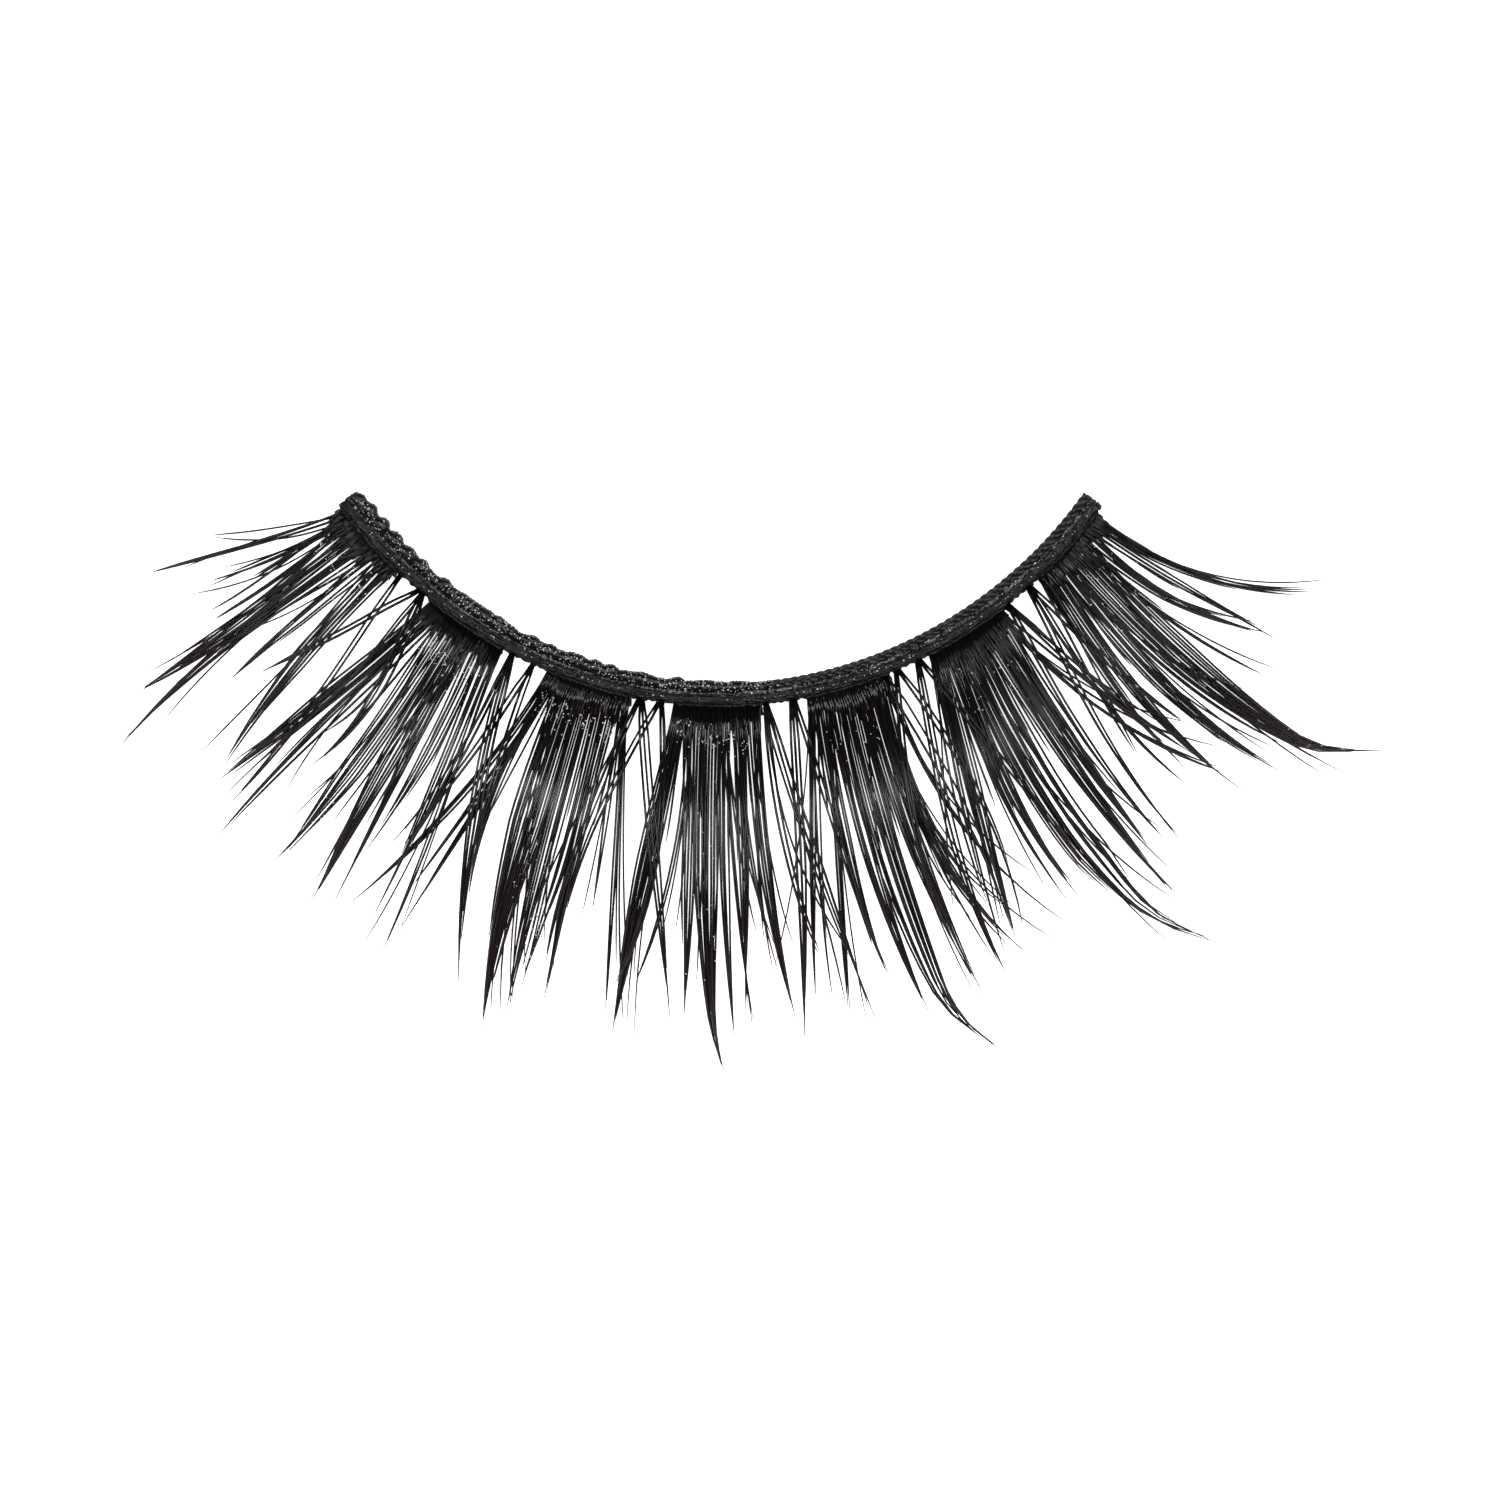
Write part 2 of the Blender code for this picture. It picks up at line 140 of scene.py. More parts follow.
CLUSTERS = (
    Cluster(-1.0, -0.815, Layer.LOW, 8, (
        Tuft(-0.988, -1.060, -1.110, 0.53, 2, 0.10),
        Tuft(-0.970, -1.012, -1.052, 0.44, 2, 0.16),
        Tuft(-0.978, -0.992, -1.000, 0.30, 2, 0.08),
        Tuft(-0.948, -0.950, -0.965, 0.735, 6, 0.62, span=0.062),
        Tuft(-0.962, -0.972, -0.985, 0.46, 2, 0.10),
        Tuft(-0.940, -0.960, -0.972, 0.65, 2, 0.12),
        Tuft(-0.898, -0.934, -0.918, 0.84, 5, 0.50, span=0.050, full=0.45),
        Tuft(-0.866, -0.884, -0.890, 0.51, 4, 0.40, span=0.036, fray=0.3),
        Tuft(-0.840, -0.832, -0.800, 0.69, 6, 0.58, span=0.048, fray=0.2),
    )),
    Cluster(-0.70, -0.515, Layer.HIGH, 12, (
        Tuft(-0.692, -0.752, -0.790, 0.73, 6, 0.60, span=0.022, fray=0.2),
        Tuft(-0.674, -0.722, -0.736, 0.83, 4, 0.34, span=0.024),
        Tuft(-0.644, -0.641, -0.650, 0.79, 8, 0.80, span=0.050, full=0.62),
        Tuft(-0.602, -0.596, -0.580, 0.84, 8, 0.84, span=0.050, full=0.5),
        Tuft(-0.588, -0.572, -0.555, 0.785, 3, 0.22, span=0.020),
        Tuft(-0.562, -0.546, -0.555, 0.66, 5, 0.50, span=0.036, fray=0.2),
        Tuft(-0.536, -0.508, -0.497, 0.79, 4, 0.36, span=0.026),
        Tuft(-0.520, -0.482, -0.461, 0.90, 2, 0.14, span=0.012),
    )),
    Cluster(-0.39, -0.205, Layer.LOW, 10, (
        Tuft(-0.388, -0.460, -0.536, 0.79, 3, 0.22, span=0.014),
        Tuft(-0.380, -0.408, -0.382, 0.655, 3, 0.18, span=0.012),
        Tuft(-0.375, -0.425, -0.456, 0.78, 3, 0.20, span=0.014),
        Tuft(-0.370, -0.430, -0.471, 0.70, 2, 0.10),
        Tuft(-0.338, -0.338, -0.307, 0.95, 14, 1.45, span=0.068, full=0.42),
        Tuft(-0.299, -0.297, -0.281, 0.91, 6, 0.54, span=0.030, full=0.55),
        Tuft(-0.268, -0.268, -0.274, 0.82, 7, 0.70, span=0.036, full=0.6),
        Tuft(-0.238, -0.246, -0.236, 0.83, 5, 0.42, span=0.028),
        Tuft(-0.216, -0.205, -0.196, 0.61, 2, 0.14),
        Tuft(-0.212, -0.175, -0.150, 0.92, 2, 0.12),
    )),
    Cluster(-0.09, 0.09, Layer.HIGH, 14, (
        Tuft(-0.083, -0.124, -0.140, 0.91, 8, 0.72, span=0.028, fray=0.15),
        Tuft(-0.064, -0.078, -0.133, 0.85, 2, 0.12),
        Tuft(-0.062, -0.052, -0.047, 0.86, 5, 0.42, span=0.032, full=0.6),
        Tuft(-0.022, -0.020, -0.003, 1.00, 8, 0.80, span=0.048, hook=0.012),
        Tuft(0.012, 0.010, 0.022, 0.92, 4, 0.30, span=0.026),
        Tuft(0.042, 0.040, 0.036, 0.83, 5, 0.42, span=0.030),
        Tuft(0.074, 0.078, 0.103, 0.85, 5, 0.46, span=0.030),
        Tuft(0.010, 0.026, 0.047, 0.91, 2, 0.08),
        Tuft(0.046, 0.056, 0.100, 0.83, 2, 0.08),
    )),
    Cluster(0.205, 0.388, Layer.LOW, 16, (
        Tuft(0.210, 0.160, 0.132, 0.85, 3, 0.18),
        Tuft(0.218, 0.172, 0.157, 0.85, 2, 0.14),
        Tuft(0.246, 0.202, 0.173, 0.89, 3, 0.20),
        Tuft(0.228, 0.218, 0.237, 0.77, 6, 0.50, span=0.034),
        Tuft(0.258, 0.254, 0.281, 0.92, 6, 0.46, span=0.034),
        Tuft(0.295, 0.290, 0.316, 1.04, 12, 1.15, span=0.062, hook=0.033, blunt=1.7),
        Tuft(0.335, 0.332, 0.355, 0.90, 7, 0.60, span=0.038),
        Tuft(0.350, 0.356, 0.389, 0.85, 2, 0.08),
        Tuft(0.366, 0.360, 0.437, 0.87, 5, 0.36, span=0.030),
        Tuft(0.383, 0.412, 0.507, 0.84, 2, 0.08),
    )),
    Cluster(0.495, 0.685, Layer.HIGH, 16, (
        Tuft(0.502, 0.430, 0.400, 0.85, 2, 0.14),
        Tuft(0.514, 0.456, 0.422, 0.80, 6, 0.54, span=0.024),
        Tuft(0.532, 0.502, 0.512, 0.76, 4, 0.26, span=0.022, fray=0.2),
        Tuft(0.549, 0.516, 0.527, 0.74, 5, 0.38, span=0.026),
        Tuft(0.586, 0.567, 0.615, 1.03, 15, 1.38, span=0.066, hook=0.028, full=0.66),
        Tuft(0.633, 0.626, 0.641, 0.89, 6, 0.52, span=0.040),
        Tuft(0.664, 0.650, 0.650, 0.75, 5, 0.38, span=0.034),
        Tuft(0.676, 0.722, 0.810, 0.72, 2, 0.10),
    )),
    Cluster(0.80, 0.992, Layer.LOW, 14, (
        Tuft(0.812, 0.770, 0.768, 0.69, 4, 0.28, span=0.022, fray=0.2),
        Tuft(0.832, 0.792, 0.803, 0.77, 5, 0.38, span=0.028),
        Tuft(0.858, 0.832, 0.860, 0.82, 6, 0.54, span=0.034),
        Tuft(0.864, 0.856, 0.894, 0.80, 2, 0.08),
        Tuft(0.904, 0.890, 0.923, 0.966, 12, 1.15, span=0.068, hook=0.040, full=0.42,
             blunt=1.3),
        Tuft(0.915, 0.925, 0.960, 0.68, 2, 0.08),
        Tuft(0.940, 0.952, 1.005, 0.54, 4, 0.30, span=0.030),
        Tuft(0.962, 0.986, 1.010, 0.56, 3, 0.22, span=0.022),
        Tuft(0.984, 1.022, 1.115, 0.62, 2, 0.14),
        Tuft(0.976, 1.016, 1.093, 0.59, 2, 0.08),
    )),
)


def pair(root: float, middle: float, tip: float, reach: float, width: float = 0.175) -> Tuft:
    """Two strands side by side, tied on at one knot."""
    return Tuft(root, middle, tip, reach, 2, width, span=0.004)


def trio(root: float, middle: float, tip: float, reach: float, width: float = 0.34) -> Tuft:
    """Three strands side by side, tied on at one knot."""
    return Tuft(root, middle, tip, reach, 3, width, span=0.006)


# The crossing fibres, one gap between clusters after another: thin strands tied on by knots.
CROSSINGS = (
    (
        pair(-0.800, -0.760, -0.755, 0.81),
        pair(-0.745, -0.815, -0.865, 0.46),
        trio(-0.735, -0.684, -0.694, 0.52),
        pair(-0.735, -0.742, -0.770, 0.64, 0.16),
    ),
    (
        Tuft(-0.487, -0.424, -0.354, 0.86, 4, 0.40, span=0.006),
        pair(-0.487, -0.489, -0.502, 0.62),
        pair(-0.434, -0.478, -0.520, 0.66),
        pair(-0.434, -0.418, -0.398, 0.60, 0.16),
    ),
    (
        pair(-0.180, -0.240, -0.245, 0.80),
        trio(-0.175, -0.110, -0.067, 0.83),
        pair(-0.135, -0.214, -0.235, 0.62),
        pair(-0.130, -0.106, -0.150, 0.80, 0.16),
    ),
    (
        trio(0.105, 0.165, 0.211, 0.92),
        pair(0.105, 0.120, 0.182, 0.90),
        trio(0.165, 0.137, 0.111, 0.93, 0.30),
        pair(0.170, 0.206, 0.226, 0.72, 0.16),
    ),
    (
        trio(0.463, 0.396, 0.393, 0.89, 0.30),
        pair(0.415, 0.462, 0.430, 0.80),
        pair(0.468, 0.530, 0.560, 0.74),
        pair(0.410, 0.345, 0.335, 0.72, 0.16),
        pair(0.380, 0.425, 0.430, 0.70, 0.30),
        pair(0.500, 0.430, 0.405, 0.70, 0.20),
    ),
    (
        pair(0.765, 0.702, 0.690, 0.815, 0.18),
        pair(0.705, 0.670, 0.677, 0.82, 0.18),
        pair(0.705, 0.745, 0.790, 0.65, 0.18),
        pair(0.770, 0.786, 0.812, 0.56),
        pair(0.770, 0.735, 0.752, 0.70),
        Tuft(0.688, 0.742, 0.772, 0.62, 2, 0.34),
        Tuft(0.806, 0.748, 0.714, 0.60, 2, 0.30),
    ),
)


@dataclass(frozen=True)
class Lump:
    """A lump of dried glue: its angle share, its height in millimetres and how far it spreads."""

    place: float
    height: float
    spread: float = 0.016


CRUST = (
    Lump(-1.000, 0.14), Lump(-0.962, 0.19, 0.020), Lump(-0.914, 0.19),
    Lump(-0.866, 0.20), Lump(-0.818, 0.17), Lump(-0.776, 0.15, 0.013),
    Lump(-0.705, 0.15), Lump(-0.650, 0.12, 0.030), Lump(-0.600, 0.12, 0.030),
    Lump(-0.545, 0.13, 0.035), Lump(-0.455, 0.13), Lump(-0.410, 0.10),
    Lump(-0.345, 0.14, 0.030), Lump(-0.293, 0.13), Lump(-0.257, 0.12),
    Lump(-0.185, 0.12, 0.034), Lump(-0.100, 0.13), Lump(-0.030, 0.09, 0.034),
    Lump(0.045, 0.08, 0.030), Lump(0.130, 0.08, 0.017),
)


@dataclass(frozen=True)
class Speckle:
    """A patch of pale specks on the fibres, partly glue and partly painted glints: its middle, its
    half size and how many there are.
    """

    share: float
    reach: float
    share_spread: float
    reach_spread: float
    count: int


SPECKLES = (
    Speckle(-0.93, 0.10, 0.050, 0.025, 48),
    Speckle(-0.85, 0.10, 0.025, 0.025, 22),
    Speckle(-0.64, 0.10, 0.045, 0.022, 44),
    Speckle(-0.55, 0.12, 0.030, 0.030, 30),
    Speckle(-0.64, 0.62, 0.020, 0.080, 26),
    Speckle(-0.375, 0.09, 0.018, 0.020, 26),
    Speckle(-0.33, 0.10, 0.018, 0.020, 30),
    Speckle(-0.285, 0.10, 0.018, 0.020, 26),
    Speckle(-0.235, 0.11, 0.014, 0.020, 30),
    Speckle(-0.30, 0.58, 0.026, 0.090, 57),
    Speckle(-0.275, 0.66, 0.012, 0.040, 35),
    Speckle(-0.075, 0.07, 0.016, 0.040, 30),
    Speckle(-0.02, 0.10, 0.035, 0.020, 30),
    Speckle(0.04, 0.11, 0.025, 0.020, 22),
    Speckle(-0.02, 0.45, 0.030, 0.200, 30),
    Speckle(0.28, 0.13, 0.060, 0.030, 22),
    Speckle(0.58, 0.14, 0.060, 0.050, 26),
    Speckle(0.60, 0.82, 0.012, 0.080, 26),
    Speckle(0.90, 0.14, 0.070, 0.060, 35),
    Speckle(0.92, 0.80, 0.012, 0.060, 17),
)


def smooth(value: np.ndarray) -> np.ndarray:
    """0 to 1 with no corner at either end."""
    value = np.clip(value, 0.0, 1.0)
    return value * value * (3 - 2 * value)


def last_part(share: np.ndarray, length: float) -> np.ndarray:
    """0 to 1 over the last part of a length."""
    return np.clip((share - (1 - length)) / length, 0, 1)


def round_ends(share: np.ndarray, power: int, least: float) -> np.ndarray:
    """A tube's thickness from end to end, rounded off at both."""
    return np.sqrt(np.clip(1 - (2 * share - 1) ** power, least, 1))


@dataclass(frozen=True)
class Fringe:
    """The arc that the band follows and the curled surface that the fibres lie in.

    The bow is how far inside the circle the band lies, in millimetres at a few angle shares; it
    fades out over the fibres.
    """

    radius: float = 17.8 * MM
    half_angle: float = math.radians(53.3)
    longest: float = 14.0 * MM
    droop: float = math.radians(20.0)
    curl_radius: float = 12.4 * MM
    lift_ramp: float = 1.3 * MM
    band_end: float = 1.013
    bow_places: tuple[float, ...] = (-1.0, -0.75, -0.5, -0.15, 0.1, 0.4, 0.75, 1.0)
    bow_depths: tuple[float, ...] = (0.22, 0.22, 0.10, -0.04, -0.06, 0.0, 0.08, 0.12)
    bow_fade: float = 3.0 * MM

    @property
    def strip_width(self) -> float:
        """The root strip's width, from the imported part."""
        return -2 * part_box("root_strip")[0][1]

    @property
    def strip_height(self) -> float:
        """The root strip's height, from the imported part."""
        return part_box("root_strip")[1][2]

    @property
    def centre_y(self) -> float:
        """Where the arc has its centre."""
        return self.radius - self.strip_width / 2

    def bow(self, share: np.ndarray) -> np.ndarray:
        """How far inside a true circle the bent band lies at angle shares."""
        return np.interp(share, self.bow_places, self.bow_depths) * MM

    def arc(self, share: np.ndarray, radius: np.ndarray, height: np.ndarray) -> np.ndarray:
        """Points round the arc's centre.

        Args:
            share: Angle shares.
            radius: Distances from the arc's centre.
            height: Heights above the strip's underside.

        Returns:
            An array of points with one more axis than the arguments.
        """
        radius = radius - self.bow(share)
        angle = share * self.half_angle
        x = radius * np.sin(angle)
        y = self.centre_y - radius * np.cos(angle)
        return np.stack(np.broadcast_arrays(x, y, height), axis=-1)

    def surface(self, share: np.ndarray, out: np.ndarray, rise: np.ndarray) -> np.ndarray:
        """Points at a distance out from the strip, rise above the surface of the lowest fibres.

        Args:
            share: Angle shares.
            out: Distances out from the strip.
            rise: Heights above the surface, reached a little way out.

        Returns:
            An array of points.
        """
        curl = out * out / (2 * self.curl_radius) - math.tan(self.droop) * out
        lift = rise * smooth(out / self.lift_ramp)
        radius = self.radius + out + self.bow(share) * smooth(out / self.bow_fade)
        return self.arc(share, radius, self.strip_height / 2 + curl + lift)


class Waves:
    """Smooth random unevenness along one or two directions, the same on every run."""

    def __init__(self, seed: int, lowest: float, highest: float, count: int = 24) -> None:
        """Draws the waves.

        Args:
            seed: The seed of the random draw.
            lowest: The fewest waves over a length of one.
            highest: The most waves over a length of one.
            count: How many waves are added up.
        """
        rng = np.random.default_rng(seed)
        self.along = rng.uniform(lowest, highest, count)
        self.across = rng.integers(-2, 3, count)
        self.phase = rng.uniform(0, 2 * math.pi, count)
        self.scale = math.sqrt(2 / count)

    def at(self, along: np.ndarray, turn: np.ndarray) -> np.ndarray:
        """The unevenness at places along a piece and at turns of a circle round it.

        Args:
            along: Places along the piece, 0 to 1.
            turn: Angles round the piece in radians.

        Returns:
            Values about 0, mostly between -1.5 and 1.5.
        """
        along, turn = np.broadcast_arrays(along, turn)
        total = np.zeros(along.shape)
        for step, side, phase in zip(self.along, self.across, self.phase):
            total += np.sin(2 * math.pi * step * along + side * turn + phase)
        return total * self.scale


def deselect_all() -> None:
    """Leaves edit mode and deselects every object."""
    if bpy.context.object and bpy.context.object.mode != "OBJECT":
        bpy.ops.object.mode_set(mode="OBJECT")
    bpy.ops.object.select_all(action="DESELECT")


def make_piece(name: str, verts: np.ndarray, faces: Sequence[Sequence[int]]) -> Piece:
    """A smooth mesh object at the origin.

    Args:
        name: The piece's name.
        verts: Its points, one row each.
        faces: Its faces as lists of point numbers.

    Returns:
        The new object.
    """
    mesh = bpy.data.meshes.new(name)
    mesh.from_pydata(verts.tolist(), [], faces)
    mesh.validate()
    mesh.shade_smooth()
    piece = bpy.data.objects.new(name, mesh)
    bpy.context.scene.collection.objects.link(piece)
    return piece


def add_values(piece: Piece, name: str, values: np.ndarray) -> None:
    """Stores a number for each point of a piece, which its material reads by name."""
    layer = piece.data.attributes.new(name, "FLOAT", "POINT")
    layer.data.foreach_set("value", np.ascontiguousarray(values, dtype=np.float32).ravel())


class TubePattern:
    """A straight closed tube of radius and length one, modelled once and copied along paths."""

    def __init__(self, sides: int, *cuts: int) -> None:
        """Models the tube: a cylinder whose long edges are subdivided again and again.

        Args:
            sides: How many sides it has.
            cuts: How many cuts each round of subdivision makes.
        """
        deselect_all()
        bpy.ops.mesh.primitive_cylinder_add(vertices=sides, radius=1, depth=1, location=(0, 0, 0))
        piece = bpy.context.object
        segments = 1
        for count in cuts:
            self._select_long_edges(piece)
            bpy.ops.mesh.subdivide(number_cuts=count)
            bpy.ops.object.mode_set(mode="OBJECT")
            segments *= count + 1
        self.sides = sides
        self.rings = segments + 1
        points = np.array([v.co[:] for v in piece.data.vertices])
        ring = np.rint((points[:, 2] + 0.5) * segments).astype(int)
        turn = np.arctan2(points[:, 1], points[:, 0]) % (2 * math.pi)
        side = np.rint(turn * sides / (2 * math.pi) - 0.25).astype(int) % sides
        place = ring * sides + side
        self.faces = [[int(place[i]) for i in face.vertices] for face in piece.data.polygons]
        sorted_turn = np.zeros(len(points))
        sorted_turn[place] = turn
        self.turn = sorted_turn.reshape(self.rings, sides)
        self.share = np.linspace(0, 1, self.rings)
        bpy.data.objects.remove(piece, do_unlink=True)

    @staticmethod
    def _select_long_edges(piece: Piece) -> None:
        """Selects, in edit mode, the edges that run along the tube."""
        mesh = piece.data
        bpy.context.tool_settings.mesh_select_mode = (False, True, False)
        bpy.ops.object.mode_set(mode="EDIT")
        bpy.ops.mesh.select_all(action="DESELECT")
        bpy.ops.object.mode_set(mode="OBJECT")
        for edge in mesh.edges:
            a, b = (mesh.vertices[i].co for i in edge.vertices)
            edge.select = (a - b).xy.length < SAME_PLACE
        bpy.ops.object.mode_set(mode="EDIT")

    def make(
        self, name: str, paths: np.ndarray, half_width: np.ndarray, half_height: np.ndarray
    ) -> Piece:
        """Copies the tube along paths, into one piece.

        Args:
            name: The piece's name.
            paths: Points, by path and ring.
            half_width: The section's half width, by path and ring, or by path, ring and side.
            half_height: The section's half height, shaped as the half width.

        Returns:
            The piece.
        """
        tangent = np.gradient(paths, axis=1)
        tangent /= np.linalg.norm(tangent, axis=-1, keepdims=True)
        side = np.cross(np.array([0.0, 0.0, 1.0]), tangent)
        side /= np.linalg.norm(side, axis=-1, keepdims=True)
        up = np.cross(tangent, side)
        if half_width.ndim == 2:
            half_width = half_width[:, :, None]
            half_height = half_height[:, :, None]
        across = (np.cos(self.turn)[None] * half_width)[..., None] * side[:, :, None]
        above = (np.sin(self.turn)[None] * half_height)[..., None] * up[:, :, None]
        verts = (paths[:, :, None] + across + above).reshape(-1, 3)
        step = self.rings * self.sides
        faces = []
        for copy in range(len(paths)):
            faces += [[i + copy * step for i in face] for face in self.faces]
        return make_piece(name, verts, faces)

    def spread(self, values: np.ndarray) -> np.ndarray:
        """Values by path and ring, repeated for each side."""
        return np.repeat(values.ravel(), self.sides)


class BeadPattern:
    """A small uneven bead, modelled once and scattered."""

    def __init__(self) -> None:
        """Models the bead: a low sphere, flattened below and pulled out of round."""
        deselect_all()
        bpy.ops.mesh.primitive_ico_sphere_add(subdivisions=1, radius=1, location=(0, 0, 0))
        piece = bpy.context.object
        bpy.ops.object.mode_set(mode="EDIT")
        bpy.ops.mesh.select_all(action="SELECT")
        bpy.ops.mesh.subdivide(number_cuts=1, smoothness=0.6)
        bpy.ops.transform.resize(value=(1.15, 0.9, 0.75))
        bpy.ops.transform.vertex_random(offset=0.12, seed=3)
        bpy.ops.object.mode_set(mode="OBJECT")
        self.points = np.array([v.co[:] for v in piece.data.vertices])
        self.faces = [list(face.vertices) for face in piece.data.polygons]
        bpy.data.objects.remove(piece, do_unlink=True)

    def make(
        self, name: str, places: np.ndarray, sizes: np.ndarray, rng: np.random.Generator
    ) -> Piece:
        """Copies the bead to places, each turned and stretched its own way, into one piece.

        Args:
            name: The piece's name.
            places: Points, one row each.
            sizes: Each copy's radius.
            rng: Where the turns and stretches come from.

        Returns:
            The piece.
        """
        verts = []
        faces = []
        for number, (place, size) in enumerate(zip(places, sizes)):
            turn = rng.uniform(0, 2 * math.pi)
            stretch = rng.uniform(0.7, 1.6, 3)
            shape = self.points * stretch
            x = shape[:, 0] * math.cos(turn) - shape[:, 1] * math.sin(turn)
            y = shape[:, 0] * math.sin(turn) + shape[:, 1] * math.cos(turn)
            verts.append(np.stack((x, y, shape[:, 2]), axis=-1) * size + place)
            start = number * len(self.points)
            faces += [[i + start for i in face] for face in self.faces]
        return make_piece(name, np.concatenate(verts), faces)


class Signal:
    """A shader value that is worked with as a number."""

    def __init__(self, graph: "Graph", socket: bpy.types.NodeSocket) -> None:
        """Wraps a node's output."""
        self.graph = graph
        self.socket = socket

    def _maths(self, operation: str, first: Any, second: Any = 0.0) -> "Signal":
        """A Math node on two values."""
        node = self.graph.node("ShaderNodeMath", {"operation": operation}, {0: first, 1: second})
        return Signal(self.graph, node.outputs[0])

    def __add__(self, other: Any) -> "Signal":
        """self + other, either way round."""
        return self._maths("ADD", self, other)

    __radd__ = __add__

    def __sub__(self, other: Any) -> "Signal":
        """self - other."""
        return self._maths("SUBTRACT", self, other)

    def __rsub__(self, other: Any) -> "Signal":
        """other - self."""
        return self._maths("SUBTRACT", other, self)

    def __mul__(self, other: Any) -> "Signal":
        """self * other, either way round."""
        return self._maths("MULTIPLY", self, other)

    __rmul__ = __mul__

    def __truediv__(self, other: Any) -> "Signal":
        """self / other."""
        return self._maths("DIVIDE", self, other)

    def __pow__(self, other: Any) -> "Signal":
        """self to the power of other."""
        return self._maths("POWER", self, other)

    def angle_from(self, other: Any) -> "Signal":
        """The angle whose tangent is self / other."""
        return self._maths("ARCTAN2", self, other)

    def between(self, low: float, high: float) -> "Signal":
        """0 below low, 1 above high and smooth from one to the other."""
        settings = {"interpolation_type": "SMOOTHSTEP", "clamp": True}
        values = {"Value": self, "From Min": low, "From Max": high}
        node = self.graph.node("ShaderNodeMapRange", settings, values)
        return Signal(self.graph, node.outputs[0])


class Graph:
    """A material's nodes, with its Principled shader."""

    def __init__(self, name: str) -> None:
        """Starts a material."""
        self.material = bpy.data.materials.new(name)
        self.material.use_nodes = True
        self.nodes = self.material.node_tree.nodes
        self.shader = self.nodes["Principled BSDF"]

    def node(
        self, kind: str, settings: Optional[dict[str, Any]] = None,
        values: Optional[dict[Any, Any]] = None,
    ) -> bpy.types.Node:
        """Adds a node.

        Args:
            kind: The node's type.
            settings: Its settings, such as an operation.
            values: A number, colour, Signal or output for each of its inputs.

        Returns:
            The node.
        """
        node = self.nodes.new(kind)
        for name, value in (settings or {}).items():
            setattr(node, name, value)
        for name, value in (values or {}).items():
            self.put(node.inputs[name], value)
        return node

    def put(self, socket: bpy.types.NodeSocket, value: Any) -> None:
        """Links or sets an input."""
        if isinstance(value, Signal):
            value = value.socket
        if isinstance(value, bpy.types.NodeSocket):
            self.material.node_tree.links.new(value, socket)
        else:
            socket.default_value = value

    def set(self, **values: Any) -> None:
        """Feeds the shader's inputs, with underscores for spaces in their names."""
        for name, value in values.items():
            self.put(self.shader.inputs[name.replace("_", " ")], value)

    def stored(self, name: str) -> Signal:
        """A value that the piece's points carry."""
        node = self.node("ShaderNodeAttribute", {"attribute_name": name})
        return Signal(self, node.outputs["Fac"])

    def place(self) -> bpy.types.NodeSocket:
        """The point in the object's own coordinates."""
        return self.node("ShaderNodeTexCoord").outputs["Object"]

    def polar(self, centre_y: float, stretch: float) -> bpy.types.NodeSocket:
        """The point as seen along the band: angle times stretch, distance from the centre, height.

        Args:
            centre_y: Where the band's arc has its centre.
            stretch: What the angle is multiplied by.

        Returns:
            A vector output, in metres but for the angle.
        """
        split = self.node("ShaderNodeSeparateXYZ", values={0: self.place()})
        x = Signal(self, split.outputs[0])
        y = centre_y - Signal(self, split.outputs[1])
        angle = x.angle_from(y) * stretch
        away = (x * x + y * y) ** 0.5
        values = {0: angle, 1: away, 2: split.outputs[2]}
        return self.node("ShaderNodeCombineXYZ", values=values).outputs[0]

    def noise(
        self, where: Any, scale: float, detail: float = 2.0, roughness: float = 0.5
    ) -> Signal:
        """Cloudy noise from 0 to 1.

        Args:
            where: The vector that it reads.
            scale: How many clouds there are to the metre.
            detail: How many finer layers it has.
            roughness: How strong the finer layers are.

        Returns:
            Its value.
        """
        values = {"Vector": where, "Scale": scale, "Detail": detail, "Roughness": roughness}
        node = self.node("ShaderNodeTexNoise", values=values)
        return Signal(self, node.outputs[0])

    def mix(self, factor: Any, first: Any, second: Any) -> bpy.types.NodeSocket:
        """A colour between two colours."""
        values = {0: factor, 6: first, 7: second}
        return self.node("ShaderNodeMix", {"data_type": "RGBA"}, values).outputs[2]

    def bump(self, height: Signal, distance: float, strength: float = 1.0) -> None:
        """Feeds the shader's normal with relief.

        Args:
            height: The relief, 0 to 1.
            distance: How deep it is in metres.
            strength: How much of it shows.
        """
        values = {"Height": height, "Distance": distance, "Strength": strength}
        self.set(Normal=self.node("ShaderNodeBump", values=values).outputs[0])


@dataclass(frozen=True)
class FibreFinish:
    """Satin near-black fibre that turns to dark brown-grey at its thin tip."""

    root: Colour = (0.0016, 0.0015, 0.0017, 1.0)
    body: Colour = (0.0048, 0.0034, 0.0036, 1.0)
    tip: Colour = (0.0260, 0.0175, 0.0180, 1.0)
    roughness: float = 0.16

    def material(self) -> Material:
        """The material, which reads each fibre's length share and tone."""
        graph = Graph("black_fibre")
        along = graph.stored("along")
        tone = graph.stored("tone")
        streak = graph.noise(graph.place(), 9000.0, 2.0)
        dark = graph.mix(along.between(0.0, 0.18), self.root, self.body)
        light = graph.mix(along.between(0.55, 1.0) * (0.35 + 0.65 * tone), dark, self.tip)
        graph.set(
            Base_Color=light,
            Roughness=self.roughness + 0.10 * (tone - 0.5) + 0.10 * (streak - 0.5),
            Specular_IOR_Level=0.18,
        )
        return graph.material


